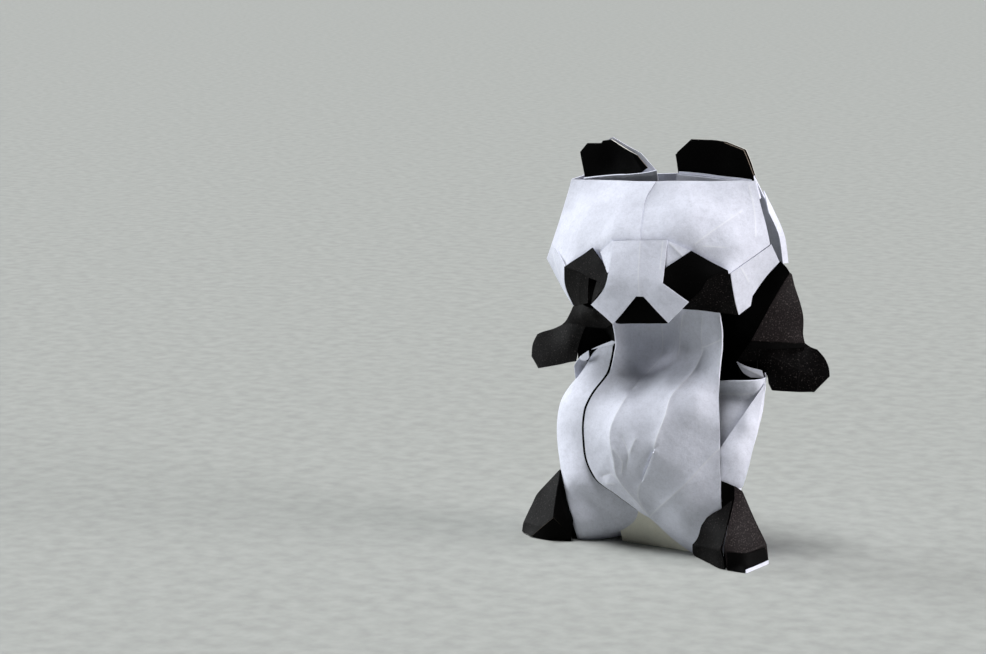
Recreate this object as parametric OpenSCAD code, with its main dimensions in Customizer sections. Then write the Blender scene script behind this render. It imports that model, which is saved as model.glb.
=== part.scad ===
// A panda folded from one square of two-coloured paper, black on one side and white on the other.
// It stands on two feet with the hem of its back as a third rest, and faces -Y.
// The folded sheet is one piece, so the whole figure is one solid with hollow, open-ended walls.

/* [Paper] */
// Thickness of a wall, which is several layers pressed together
wall = 0.5; // [0.4:0.05:0.8]
// How far a layer that is laid over the face stands proud of it
lift = 0.7; // [0.6:0.05:1]

/* [Head] */
// Height of the chin above the floor
chin_z = 45; // [43:0.5:47]
// Sideways tilt of the head, in degrees
head_tilt = 3; // [0:0.5:6]
// Distance of the muzzle in front of the figure's middle
muzzle_out = 9.5; // [8:0.5:11]
// Width of the forehead along its top edge
brow_w = 39; // [35:0.5:43]
// Height of the forehead's top edge above the chin
brow_h = 25.5; // [23:0.5:28]
// How far the top edge leans back from the muzzle, at the centre fold
brow_lean = 6.5; // [4:0.5:8]
// How far the ends of the top edge bend back from the centre fold
brow_bend = 5; // [3:0.5:7]
// Width across the temples, where the cheeks fold
temple_w = 46; // [42:0.5:50]
// Height of the temples above the chin
temple_h = 13.5; // [12:0.5:16]
// Width across the points of the cheeks
cheek_w = 49.5; // [46:0.5:54]
// Height of the cheek points above the chin
cheek_h = 10; // [8:0.5:11]
// Distance of the cheek points behind the muzzle
cheek_back = 9.5; // [7:0.5:12]
// Width between the lower tips of the cheeks
jaw_w = 35; // [31:0.5:38]
// Distance of the lower cheek tips behind the muzzle
jaw_back = 6; // [4:0.5:8]
// Distance from the muzzle to the back of the head
head_depth = 18; // [15:0.5:21]

/* [Face] */
// Width of the muzzle along its top fold
muzzle_top_w = 11.6; // [10:0.2:13]
// Height of the muzzle's top fold above the chin
muzzle_top_h = 15.2; // [14:0.2:17]
// Width of the muzzle across its outer corners
muzzle_w = 20.4; // [18:0.2:22]
// Height of the muzzle's outer corners above the chin
muzzle_corner_h = 3.2; // [2:0.2:5]
// Height of the notch above the chin, which leaves the black nose bare
notch_h = 4.3; // [3:0.2:6]
// Height of each eye patch
eye_h = 13; // [11:0.5:14]
// Distance between the eye patches
eye_gap = 12; // [10.5:0.5:13]
// Width between the outer corners of the eye patches
eye_span = 34; // [31:0.5:37]

/* [Ears] */
// Width of the right ear at its root
right_ear_w = 15.5; // [12:0.5:17]
// Width of the left ear at its root
left_ear_w = 13.5; // [11:0.5:16]
// Height of an ear above the forehead's top edge
ear_h = 8; // [5:0.2:10]
// Distance between the middles of the two ears
ear_pitch = 21.4; // [20:0.2:25]
// Distance of the ears behind the muzzle
ear_back = 13.5; // [11:0.5:16]
// Forward lean of the ears, in degrees
ear_lean = 15; // [0:1:25]

/* [Body] */
// Width of the belly panel under the chin
chest_w = 23; // [20:0.5:26]
// Width of the belly panel at its fullest
belly_w = 28.5; // [25:0.5:31]
// Distance of the belly's fullest line in front of the figure's middle
belly_out = 12; // [9:0.5:12.5]
// Distance of the belly panel in front of the middle, under the chin
chest_out = 5.5; // [4:0.5:7]
// Height of the belly's fullest line
belly_z = 25; // [22:0.5:28]
// Height of the fork between the legs
fork_z = 5.7; // [4:0.1:8]
// Width across the hips
hip_w = 42; // [38:0.5:46]
// Height of the top edge of the hips
hip_top_z = 34; // [32:0.5:36]
// Distance of the back behind the figure's middle
back_out = 9; // [7:0.5:11]

/* [Arms] */
// Distance of the right hand's tip from the centre line
right_reach = 33.5; // [30:0.5:37]
// Distance of the left hand's tip from the centre line
left_reach = 31; // [28:0.5:35]
// Height of the shoulders
shoulder_z = 56; // [52:0.5:58]
// Height of the elbows, where the arms fold outwards
elbow_z = 41; // [39:0.5:43]
// Height of a hand, from its upper to its lower edge
hand_h = 8.6; // [7:0.2:11]

/* [Feet] */
// Distance between the outer corners of the feet
stance_w = 51; // [47:0.5:56]
// Height of a foot, up to the point of its fold
foot_h = 14.4; // [12:0.2:17]
// Length of a foot from heel to toe
foot_l = 9.5; // [8:0.5:12]
// Distance of the toes in front of the figure's middle
toe_out = 13.5; // [12.5:0.5:16]
// Width of the flap that reaches the floor between the legs
tail_w = 18; // [16:0.5:21]

/* [Hidden] */

// Steps that a curved wall takes between two of its given points, where it shows and where it is hidden
fine = 3;
coarse = 2;
// Corner balls of a flat facet have few sides, which lie this much inside their diameter
ball_sides = 4;
ball_scale = 1.35;
facet_skin = wall * ball_scale / 2 * cos(45);
// The left side of the figure for a loop over both sides, and its right side
left_side = -1;
right_side = 1;

// The point p on the right side of the figure for side = 1, or its mirror image for side = -1
function at(side, p) = [side * p.x, p.y, p.z];

// A row of points at one height, from their places across and along
function level(z, places) = [for (p = places) [p.x, p.y, z]];

// Depth of a bowed layer at a share of the way from its middle to its end
function bowed(middle, end, share) = middle - (middle - end) * share * share;

// A smooth curve through b and c, with a and d as its neighbours
function blend4(a, b, c, d, t) = 0.5 * (
    2 * b + (c - a) * t
    + (2 * a - 5 * b + 4 * c - d) * t * t
    + (3 * b - a - 3 * c + d) * t * t * t
);

// A row of points with steps in between, on a smooth curve through all of them
function smooth(row, steps) = [
    for (i = [0 : len(row) - 2])
        for (k = [0 : (i == len(row) - 2 ? steps : steps - 1)])
            blend4(
                i == 0 ? 2 * row[0] - row[1] : row[i - 1],
                row[i],
                row[i + 1],
                i == len(row) - 2 ? 2 * row[i + 1] - row[i] : row[i + 2],
                k / steps
            )
];

function turned(grid) = [for (j = [0 : len(grid[0]) - 1]) [for (row = grid) row[j]]];
function refined(grid, steps) =
    turned([for (line = turned([for (row = grid) smooth(row, steps)])) smooth(line, steps)]);

// Unit normal of a grid at row i and column j
function grid_normal(grid, i, j) =
    let (
        down = grid[min(i + 1, len(grid) - 1)][j] - grid[max(i - 1, 0)][j],
        across = grid[i][min(j + 1, len(grid[0]) - 1)] - grid[i][max(j - 1, 0)],
        n = cross(down, across)
    )
    n / max(norm(n), 0.001);

// A curved wall of paper through a grid of points
module sheet(rows, steps = fine) {
    grid = refined(rows, steps);
    m = len(grid);
    n = len(grid[0]);
    front = [for (i = [0 : m - 1]) for (j = [0 : n - 1]) grid[i][j] + grid_normal(grid, i, j) * wall / 2];
    back = [for (i = [0 : m - 1]) for (j = [0 : n - 1]) grid[i][j] - grid_normal(grid, i, j) * wall / 2];
    size = m * n;
    cells = [for (i = [0 : m - 2]) for (j = [0 : n - 2]) i * n + j];
    // The rim runs once round the grid's edge
    rim = concat(
        [for (j = [0 : n - 1]) j],
        [for (i = [1 : m - 1]) i * n + n - 1],
        [for (j = [n - 2 : -1 : 0]) (m - 1) * n + j],
        [for (i = [m - 2 : -1 : 1]) i * n]
    );
    faces = concat(
        [for (c = cells) [c, c + 1, c + n + 1]],
        [for (c = cells) [c, c + n + 1, c + n]],
        [for (c = cells) [size + c, size + c + n + 1, size + c + 1]],
        [for (c = cells) [size + c, size + c + n, size + c + n + 1]],
        [for (k = [0 : len(rim) - 1]) let (a = rim[k], b = rim[(k + 1) % len(rim)]) [a, size + a, b]],
        [for (k = [0 : len(rim) - 1]) let (a = rim[k], b = rim[(k + 1) % len(rim)]) [b, size + a, size + b]]
    );
    polyhedron(points = concat(front, back), faces = faces, convexity = 6);
}

// A flat facet of paper with rounded edges, from its corners.
// Corners that don't lie in one plane give a pressed pack of many layers.
module facet(corners) {
    hull() {
        for (c = corners) {
            translate(c) sphere(d = wall * ball_scale, $fn = ball_sides);
        }
    }
}

// The head is drawn upright about the chin, then tilted
face_y = -muzzle_out;
brow_mid = [0, face_y + brow_lean, brow_h];
brow_end = [brow_w / 2, face_y + brow_lean + brow_bend, brow_h];
bridge = [0, face_y + lift, muzzle_top_h];
temple = [temple_w / 2, face_y + cheek_back - 0.5, temple_h];
cheek = [cheek_w / 2, face_y + cheek_back, cheek_h];
jaw = [jaw_w / 2, face_y + jaw_back, 1];
eye_top = [eye_gap / 2 + 4.4, face_y + 1.6, eye_h + 0.4];
eye_out = [eye_span / 2, face_y + 2.9, eye_h - 3.5];
eye_in = [eye_gap / 2, face_y - 0.9, eye_h - 3.1];
eye_in_low = [eye_gap / 2, face_y - 1.5, eye_h - 5.6];
eye_low = [eye_gap / 2 + 4, face_y + 0.6, 2.2];
muzzle_top = [muzzle_top_w / 2, face_y + 0.4, muzzle_top_h - 0.1];
muzzle_corner = [muzzle_w / 2, face_y, muzzle_corner_h];
muzzle_tip = [muzzle_w / 2 - 4.3, face_y - 0.1, -0.6];
notch = [0.8, face_y + 0.3, notch_h];
crown_y = face_y + head_depth - 1.5;
nape_y = face_y + head_depth;
// How far the lower edge of the head's back layer stands off, over the shoulder band
nape_flare = 2;

module forehead(side) {
    over_eye = at(side, eye_top + [-1.5, lift, 0.8]);
    edge_mid = at(side, [(brow_end.x + temple.x) / 2, temple.y + 1, brow_h - 6]);
    sheet([
        [
            brow_mid,
            at(side, [brow_w * 0.22, brow_mid.y + brow_bend * 0.3, brow_h]),
            at(side, [brow_w * 0.37, brow_mid.y + brow_bend * 0.65, brow_h]),
            at(side, brow_end)
        ],
        [
            (brow_mid + bridge) / 2,
            at(side, [brow_w * 0.23, face_y + 3.9, brow_h - 5.5]),
            at(side, [brow_w * 0.4, face_y + 6.3, brow_h - 6.5]),
            edge_mid
        ],
        [bridge, over_eye, at(side, eye_out), at(side, temple)]
    ]);
}

module lower_face(side) {
    over_eye = at(side, eye_top + [-1.5, lift, 0.8]);
    sheet([
        [bridge, over_eye, at(side, eye_out + [-2.5, lift, 1])],
        [
            [0, face_y + 0.6, notch_h + 3],
            at(side, [eye_low.x, face_y + 1.2, 8]),
            at(side, [eye_out.x - 3, face_y + 4, 6.5])
        ],
        [
            [0, face_y + 0.9, -0.4],
            at(side, [eye_low.x, face_y + 1.8, 1.4]),
            at(side, jaw + [-4, -1, 0.8])
        ]
    ], coarse);
    // The cheek folds back along the line from the eye to the temple
    facet([at(side, temple), at(side, cheek), at(side, jaw), at(side, eye_out)]);
}

// The muzzle is folded down from the forehead's lower edge and stands free below
module muzzle() {
    top = [0, face_y, muzzle_top_h];
    for (side = [left_side, right_side]) {
        half_top = [muzzle_top.x / 2, face_y + 0.1, muzzle_top_h];
        // Inside the fold the layer is pleated back to the forehead
        pleat = at(side, muzzle_top + [-0.5, 0, 0]);
        facet([top, pleat, bridge, pleat + [0, lift + 0.3, 0]]);
        sheet([
            [top, at(side, half_top), at(side, muzzle_top)],
            [
                [0, face_y - 1.2, notch_h + 5.5],
                at(side, [half_top.x, face_y - 1, 9]),
                at(side, [muzzle_top.x + 0.6, face_y - 0.6, 9])
            ],
            [[0, face_y - 0.4, notch_h], at(side, muzzle_tip), at(side, muzzle_corner)]
        ]);
    }
}

module nose() {
    top = notch + [0, 0.6, 0.6];
    low = muzzle_tip + [-0.4, 0.8, 0];
    facet([at(left_side, top), top, low, at(left_side, low)]);
    // Behind the nose the layer goes on down into the belly panel
    throat = [7, muzzle_out - chest_out + face_y - 0.2, 3.6];
    facet([at(left_side, low), low, throat, at(left_side, throat)]);
}

module eye_patch(side) {
    facet([at(side, eye_top), at(side, eye_in), at(side, eye_in_low), at(side, eye_out)]);
    facet([at(side, eye_out), at(side, eye_in_low), at(side, eye_low)]);
    facet([at(side, eye_out), at(side, eye_low), at(side, jaw)]);
}

// The back layer of the head carries the ears and leaves the top and the sides open.
// Each row of it is bowed, from its end point on one side to the same point on the other.
crown_end = [brow_w / 2 - 1.5, crown_y - 2, brow_h + 0.6];
side_end = [crown_end.x + 3, nape_y - 3, brow_h - 7];
nape_end = [cheek_w / 2 - 1.8, nape_y - 2.4, cheek_h];
hem_end = [nape_end.x - 4.5, nape_y - 1.6, 1];

module head_back() {
    rows = [
        [crown_end, crown_y],
        [side_end, nape_y],
        [nape_end, nape_y + nape_flare / 2],
        [hem_end, nape_y + nape_flare]
    ];
    shares = [-1, -0.42, 0, 0.42, 1];
    sheet([
        for (r = rows)
            [for (share = shares) [r[0].x * share, bowed(r[1], r[0].y, share), r[0].z]]
    ]);
    // Each end of the top edge is one fold with the end of the forehead
    for (side = [left_side, right_side]) {
        facet([at(side, brow_end), at(side, crown_end), at(side, crown_end + [1.2, -0.6, -4])]);
    }
}

// A point on the head's back layer just under its top edge
function crown_point(x) = [x, bowed(crown_y, crown_end.y, min(abs(x) / crown_end.x, 1)), brow_h - 1];

module ear(side, ear_w) {
    root = [side * ear_pitch / 2, face_y + ear_back, brow_h - 1.2];
    half = ear_w / 2;
    outline = [
        [-half, 0, 0],
        [-half - 0.3, 0, ear_h * 0.55],
        [-ear_w * 0.33, 0, ear_h * 0.95],
        [-ear_w * 0.1, 0, ear_h * 1.1],
        [ear_w * 0.15, 0, ear_h * 1.05],
        [ear_w * 0.42, 0, ear_h * 0.75],
        [half + 0.6, 0, 0.6],
        [half, 0, 0]
    ];
    translate(root) rotate([ear_lean, 0, 0]) facet(outline);
    // The root of the ear is one fold with the back layer
    facet([
        root + [-half + 0.3, 0, -0.1],
        root + [half - 0.3, 0, -0.1],
        crown_point(root.x - half + 1),
        crown_point(root.x + half - 1)
    ]);
}

module head() {
    translate([0, 0, chin_z]) rotate([0, -head_tilt, 0]) {
        color("white") {
            for (side = [left_side, right_side]) {
                forehead(side);
                lower_face(side);
            }
            muzzle();
            head_back();
        }
        color("black") {
            nose();
            eye_patch(left_side);
            eye_patch(right_side);
            ear(left_side, left_ear_w);
            ear(right_side, right_ear_w);
        }
    }
}

// The belly panel is off centre, because the figure turns a little to its right
belly_mid_x = 2.5;
belly_left = belly_mid_x - belly_w / 2 - 1;
belly_right = belly_mid_x + belly_w / 2 - 0.5;
belly_y = -belly_out;
chest_left = belly_mid_x - chest_w / 2;
chest_right = belly_mid_x + chest_w / 2;
chest_y = -chest_out;
// The fork between the legs, and the outer corner of each leg on the floor
fork = [0.4, -5, fork_z];
left_leg_x = -15;
right_leg_x = 9.4;

// Belly panel, as rows from the chin down, each from its free left edge to its right edge.
// Below the fork it narrows into the right leg.
module belly() {
    // Places of the two columns between the edges
    l = belly_mid_x - 4;
    r = belly_mid_x + 5;
    sheet([
        level(chin_z + 4, [
            [chest_left, chest_y + 2], [l, chest_y + 0.6], [r, chest_y + 0.4],
            [chest_right - 0.5, chest_y + 1.5]
        ]),
        level(chin_z - 5, [
            [chest_left - 0.6, chest_y + 1], [l, chest_y - 1.6], [r, chest_y - 1.4],
            [chest_right + 0.6, chest_y + 0.5]
        ]),
        level(hip_top_z, [
            [chest_left - 1.4, chest_y - 0.5], [l, belly_y + 1.8], [r, belly_y + 2.2],
            [belly_right - 0.8, chest_y - 1]
        ]),
        level(belly_z + 1.5, [
            [belly_left, belly_y + 4], [l - 1, belly_y], [r, belly_y + 0.3],
            [belly_right, belly_y + 4]
        ]),
        level(belly_z - 6, [
            [belly_left + 1.1, belly_y + 2.5], [l, belly_y], [r, belly_y + 0.3],
            [belly_right + 0.3, belly_y + 4]
        ]),
        level(fork_z + 6.3, [
            [belly_left + 5.8, belly_y + 2.9], [l + 4, belly_y + 1.4], [r + 2, belly_y + 2],
            [belly_right + 0.5, belly_y + 4.5]
        ]),
        [
            [belly_mid_x - 4.5, belly_y + 4.5, fork_z + 3.2],
            [belly_mid_x + 2, belly_y + 4.2, fork_z + 2.6],
            [belly_mid_x + 8, belly_y + 4, fork_z + 2.2],
            [belly_right + 0.5, belly_y + 4.5, fork_z + 2]
        ],
        [fork, fork + [5.1, -1.3, -1.2], fork + [10.6, -2, -2], [belly_right + 0.6, -7.5, fork_z - 2]],
        level(0, [
            [right_leg_x, -4.5], [right_leg_x + 2.6, -5.8], [right_leg_x + 5.6, -6.6],
            [belly_right + 1, -7]
        ])
    ]);
}

// The outer edges of the back, as rows from the hips' top edge down to the floor.
// The hips end there, and the back panel spans from one edge to the other.
row_z = [hip_top_z, belly_z + 1, belly_z - 6, fork_z + 6, fork_z, 0];
left_hip_x = -hip_w / 2 - 0.1;
right_hip_x = hip_w / 2 + 0.8;
left_edge_in = [2, 1, 1, 3, 4, 4];
right_edge_in = [2.8, 4, 6.4, 8, 8.3, 8.3];
edge_forward = [3, 2, 2, 2.4, 2.8, 3];
left_edge = [for (i = [0 : 5]) [left_hip_x + left_edge_in[i], back_out - edge_forward[i], row_z[i]]];
right_edge = [for (i = [0 : 5]) [right_hip_x - right_edge_in[i], back_out - edge_forward[i], row_z[i]]];

module left_hip() {
    x = left_hip_x;
    sheet([
        [
            [chest_left + 2, -2.5, hip_top_z + 3.5], [x + 6.6, -3, hip_top_z + 1],
            [x + 2, -0.5, hip_top_z - 1], left_edge[0]
        ],
        [[belly_left + 3, -6.2, row_z[1]], [x + 3.6, -6.5, row_z[1]], [x, -2.6, row_z[1]], left_edge[1]],
        [
            [belly_left + 4, -7.6, row_z[2]], [x + 4.6, -8.8, row_z[2]],
            [x + 0.3, -4.6, row_z[2] + 1], left_edge[2]
        ],
        [
            [belly_left + 8.5, -7.6, row_z[3]], [x + 8.6, -9.8, row_z[3]], [x + 3.4, -6.8, row_z[3]],
            left_edge[3]
        ],
        [fork + [0.3, 0.3, 0], [-6.5, -6.8, fork_z - 1.5], [left_leg_x - 0.5, -8.4, fork_z - 1.5], left_edge[4]],
        [[-7.4, -1, 0], [left_leg_x + 5.5, -6.5, 0], [left_leg_x, -8.5, 0], left_edge[5]]
    ]);
}

module right_hip() {
    x = right_hip_x;
    // The hip starts behind the belly panel's right edge
    b = belly_right;
    sheet([
        [
            [chest_right - 1.5, -2.8, hip_top_z + 0.6], [b + 3, -2.6, hip_top_z + 0.6],
            [x, 0, hip_top_z + 0.4], right_edge[0]
        ],
        [
            [b - 2, -5, row_z[1]], [b + 2.6, -4.2, row_z[1] + 0.5], [x - 0.9, -0.8, row_z[1] + 1],
            right_edge[1]
        ],
        [[b - 2, -6.4, row_z[2]], [b + 2.4, -6, row_z[2]], [x - 1.6, -4, row_z[2]], right_edge[2]],
        [[b - 1.5, -6.6, row_z[3]], [b + 1.6, -7, row_z[3]], [x - 2.6, -5.6, row_z[3] + 2], right_edge[3]],
        [[b - 0.5, -6.9, fork_z], [b + 2, -6.9, fork_z], [x - 2.4, -5.4, fork_z], right_edge[4]],
        [[b + 0.6, -7.2, 0], [b + 3, -6.6, 0], [x - 1.6, -5, 0], right_edge[5]]
    ]);
    // The layer that is folded over the hip ends on a slanting edge
    sheet([
        [[x - 0.4, -0.7, hip_top_z - 0.8], [x - 0.2, -0.4, hip_top_z - 0.7], [x, -0.1, hip_top_z - 0.6]],
        [[x - 3.2, -4.7, belly_z + 2], [x - 1.8, -3.2, belly_z + 1.7], [x - 0.7, -1.5, belly_z + 1.4]],
        [[b - 0.8, -7.6, belly_z - 4], [x - 3.5, -6, belly_z - 4.4], [x - 1.2, -3.8, belly_z - 4.8]],
        level(fork_z + 8.8, [[b, -7.4], [x - 3.4, -6.7], [x - 2, -5.4]])
    ], coarse);
}

// How far the band over the back stands out beyond the back panel
band_out = 0.3;

// Back of the body, from inside the shoulder band to the hem on the floor
module back_panel() {
    rise = 2;
    // Its top edge is tucked in under the band
    top_y = back_out - 4.6;
    top = [[left_edge[0].x + 1, top_y, chin_z], [right_edge[0].x - 1, top_y, chin_z]];
    rows = concat([top], [for (i = [0 : 5]) [left_edge[i], right_edge[i]]]);
    sheet([
        for (r = rows)
            [for (t = [0, 0.25, 0.5, 0.75, 1]) r[0] + (r[1] - r[0]) * t + [0, 4 * rise * t * (1 - t), 0]]
    ], coarse);
}

// Flap between the legs, folded down from behind the belly to the floor
module tail_flap() {
    half = tail_w / 2;
    sheet([
        level(0, [[-half + 1, -1.1], [0, -1.3], [half + 1, -1.1]]),
        level(fork_z, [[-half + 1, -4], [0, -4.4], [half + 1, -4.2]]),
        level(fork_z + 5.5, [[-half + 3, -8], [1, -9.4], [half + 1, -9]])
    ], coarse);
}

// Each arm hangs at a hip's outer edge.
// The right arm's inner edge is where the shoulder band turns into the arm.
right_arm_x = right_hip_x - 1;
left_arm_x = left_hip_x + 2.9;
right_arm_edge = [
    [right_arm_x, 3.2, shoulder_z - 1.5],
    [right_arm_x - 0.2, 1, elbow_z + 6],
    [right_arm_x - 2.2, 0, elbow_z + 0.2]
];
// The arms' outer edges, where the band goes round to the back
right_arm_outer = [
    [right_arm_x + 3.4, 4.6, shoulder_z - 0.8],
    [right_arm_x + 4.5, 6, elbow_z + 8.5],
    [right_arm_x + 6.2, 5.8, elbow_z - 0.3]
];
left_arm_outer = [
    [left_arm_x, 3.6, elbow_z + 9],
    [left_arm_x - 1.6, 1.2, elbow_z + 3.8],
    [left_arm_x - 2.4, 2.4, elbow_z - 2]
];

// The black shoulder band hangs from the back of the head and runs behind the belly panel, from arm to arm
module shoulders() {
    // Its top is pressed against the inside of the head's back layer
    neck_z = chin_z + cheek_h + 1;
    neck_y = nape_y + nape_flare / 2 - 0.2;
    neck_shares = [-0.6, -0.3, 0, 0.35, 0.7];
    yoke_z = shoulder_z - 5;
    // Inside the figure it lies just behind the belly panel
    inner_y = chest_y + 2;
    sheet([
        [for (share = neck_shares) [nape_end.x * share, bowed(neck_y, nape_end.y, share), neck_z]],
        [left_arm_outer[0], [-8, 0.5, yoke_z], [0, -0.5, yoke_z], [10, 0, yoke_z], right_arm_edge[0]],
        [
            left_arm_outer[1], [-9, inner_y, elbow_z + 2.5], [0, inner_y, elbow_z + 3],
            [12, -1.4, elbow_z + 4], right_arm_edge[1]
        ],
        [
            [left_arm_x, 0, elbow_z - 3], [-9, -2.8, elbow_z - 2], [2, -3.2, elbow_z - 2],
            [12.5, -1.6, elbow_z - 2], right_arm_edge[2]
        ],
        level(hip_top_z - 1, [
            [left_arm_x + 1.7, 0.2], [-9, -2], [2, -2.4], [13.4, -2], [right_arm_x - 2.4, 1]
        ])
    ], coarse);
}

// The same band round the back, over the top of the back panel.
// It slopes outwards, from inside the head's back layer to outside the panel, and its ends lie on the arms' edges.
module back_band() {
    fall = [5.5, 1, -2];
    slope = [-1.4, -0.4, band_out];
    sheet([
        for (i = [0 : 2])
            [
                left_arm_outer[i] + [0.2, 0.2, 0],
                [left_arm_x + 0.8, back_out + slope[i] - 2.6, elbow_z + fall[i] + 0.4],
                [-11, back_out + slope[i] - 0.8, elbow_z + fall[i]],
                [0, back_out + slope[i], elbow_z + fall[i]],
                [13, back_out + slope[i] - 0.4, elbow_z + fall[i] + 1],
                right_arm_outer[i] + [-0.2, 0.2, 0]
            ]
    ], coarse);
}

module right_arm() {
    tip = right_reach;
    x = right_arm_x;
    hand_z = elbow_z - 0.6;
    low_z = hand_z - hand_h;
    // Upper arm and hand meet on the elbow's fold
    elbow = [right_arm_edge[2], [x + 2.2, 1.8, elbow_z], right_arm_outer[2]];
    sheet([
        [right_arm_edge[0], [x + 2.6, 3.4, shoulder_z + 0.2], right_arm_outer[0]],
        [right_arm_edge[1], [x + 2.6, 3, elbow_z + 8], right_arm_outer[1]],
        elbow
    ]);
    sheet([
        concat(elbow, [[tip - 3.6, 5.4, hand_z - 0.4]]),
        [
            [x - 2, -0.6, elbow_z - 4], [x + 2.2, 0.2, elbow_z - 4], [tip - 5.5, 3.4, hand_z - 3.4],
            [tip - 0.8, 4.2, hand_z - 3.6]
        ],
        [
            [x + 0.1, 1.6, elbow_z - 6.2], [x + 3.2, 1, low_z + 2], [tip - 4.5, 2, low_z + 2.6],
            [tip, 3, low_z + 3.4]
        ],
        [
            [x + 1.8, 1.4, low_z], [x + 4.6, 1.4, low_z], [tip - 5.5, 1.8, low_z + 0.1],
            [tip - 2.8, 2.2, low_z + 0.2]
        ]
    ]);
}

module left_arm() {
    tip = -left_reach;
    x = left_arm_x;
    hand_z = elbow_z - 2.6;
    low_z = hand_z - hand_h;
    // Upper arm and hand meet on the elbow's fold
    elbow = [[x + 0.2, -0.4, elbow_z - 1.4], [x - 5.4, 3, elbow_z - 0.8]];
    sheet([
        [[chest_left + 0.7, -4.6, elbow_z + 2], [x + 4.2, -1.6, elbow_z + 3.4], left_arm_outer[1]],
        [[chest_left - 1, -3.4, elbow_z - 1], [x + 2.2, -1, elbow_z + 0.8], [x - 3.4, 2, elbow_z + 1]],
        [[x + 4.9, -2, elbow_z - 3.6], elbow[0], elbow[1]]
    ]);
    sheet([
        [elbow[0], elbow[1], [tip + 3, 4, hand_z], [tip + 1.2, 4.6, hand_z - 0.8]],
        [
            [x, -0.6, elbow_z - 4], [x - 4.8, 1.6, elbow_z - 4.4], [tip + 3, 3.4, hand_z - 3],
            [tip, 4.4, hand_z - 3.4]
        ],
        [
            [x - 0.7, 0, elbow_z - 7], [x - 4.8, 1.4, elbow_z - 8], [tip + 4, 2.6, low_z + 1.6],
            [tip + 2.2, 3, low_z + 1.2]
        ]
    ]);
}

// Each foot is a pack of many layers, pressed to a point in front of its leg, with a flat sole
module right_foot() {
    outer = stance_w / 2 - 0.6;
    inner = right_leg_x - 0.1;
    toe = -toe_out;
    heel = toe + foot_l;
    facet([
        [inner, heel, 0],
        [inner + 0.4, heel - 0.4, 1.8],
        [inner + 8.8, toe + 0.8, 0],
        [outer - 0.8, toe, 0],
        [outer, heel - 0.2, 0],
        [outer - 0.2, heel - 1, 3.6],
        [inner + 2.8, toe + 5.4, foot_h * 0.48],
        [inner + 6, toe + 4.4, foot_h * 0.66],
        [inner + 10.4, toe + 0.3, foot_h * 0.3],
        [inner + 10.4, toe + 1.4, foot_h * 0.52],
        [inner + 9.4, toe + 6.4, foot_h],
        [outer - 2.2, heel - 2.4, foot_h * 0.58]
    ]);
}

module left_foot() {
    outer = -stance_w / 2 - 0.6;
    inner = left_leg_x + 0.5;
    toe = -toe_out + 2.8;
    heel = toe + foot_l;
    facet([
        [outer, toe + 3, 0],
        [outer + 0.2, toe + 3, 1.6],
        [outer + 3.4, toe + 0.3, 0],
        [inner - 3.2, toe + 0.7, 0],
        [inner, toe + 2.2, 0],
        [outer + 1.5, toe + 3.4, foot_h * 0.34],
        [outer + 4.6, toe + 3.8, foot_h * 0.69],
        [inner - 3.6, toe + 3.8, foot_h - 0.6],
        [inner - 2.6, toe - 1, foot_h * 0.31],
        [inner + 0.8, toe + 1.4, foot_h * 0.31],
        [inner - 0.4, toe + 1.4, foot_h * 0.58],
        [outer + 3, heel, 0],
        [inner - 1, heel, 0],
        [inner - 4.6, heel - 1, foot_h * 0.5]
    ]);
}

// The finished figure, centred over the floor and with the soles flat on it
rear_y = max(nape_y + nape_flare, back_out + band_out) + wall / 2;
front_y = -toe_out - facet_skin;
mid_x = (right_reach - left_reach) / 2;
mid_y = (rear_y + front_y) / 2;
room = 200;

module folded_panda() {
    intersection() {
        translate([-mid_x, -mid_y, 0]) {
            head();
            color("white") {
                belly();
                left_hip();
                right_hip();
                back_panel();
                tail_flap();
            }
            color("black") {
                shoulders();
                back_band();
                right_arm();
                left_arm();
                right_foot();
                left_foot();
            }
        }
        // All that would reach under the floor is cut off flat
        translate([-room / 2, -room / 2, 0]) cube(room);
    }
}

folded_panda();
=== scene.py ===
"""The looks of a panda folded from one square of two-coloured paper, black outside and white inside.

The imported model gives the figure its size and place. Each flap and layer of the folded sheet is made here
as a thin piece of paper with its own folds. Places are in millimetres in the maker's frame, whose middle
is under the figure's centre fold, and FROM_MODEL_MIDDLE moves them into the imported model's frame.
"""
import math

import bpy
import numpy as np
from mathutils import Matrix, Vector, noise
from mathutils.geometry import delaunay_2d_cdt


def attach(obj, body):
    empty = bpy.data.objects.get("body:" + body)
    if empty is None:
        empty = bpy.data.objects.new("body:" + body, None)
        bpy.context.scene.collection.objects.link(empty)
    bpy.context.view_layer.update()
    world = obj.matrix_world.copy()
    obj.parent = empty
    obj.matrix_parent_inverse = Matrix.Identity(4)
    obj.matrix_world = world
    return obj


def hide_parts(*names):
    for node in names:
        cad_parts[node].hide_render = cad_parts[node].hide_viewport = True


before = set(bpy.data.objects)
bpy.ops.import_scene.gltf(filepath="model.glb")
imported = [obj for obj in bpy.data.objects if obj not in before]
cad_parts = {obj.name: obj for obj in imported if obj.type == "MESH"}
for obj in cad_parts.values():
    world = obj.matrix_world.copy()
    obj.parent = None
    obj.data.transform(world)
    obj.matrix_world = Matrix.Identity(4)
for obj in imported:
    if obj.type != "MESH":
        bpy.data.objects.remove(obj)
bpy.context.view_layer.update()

MM = 0.001
FROM_MODEL_MIDDLE = np.array([-1.25, 1.494, 0.0])
SHEET = "folded_panda"

# Thickness of a flap, which is two or more layers of the sheet, and of one bare layer
FLAP = 0.26
LAYER = 0.16
# Distance between the points of a flap's surface
GRAIN = 0.5
# How much the whole sheet wavers, over a long and a short distance
WAVER_LONG = (0.22, 10.0)
WAVER_SHORT = (0.07, 3.6)
# The same wavering in every run
WAVER_SEED = 5
noise.seed_set(WAVER_SEED)
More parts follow.
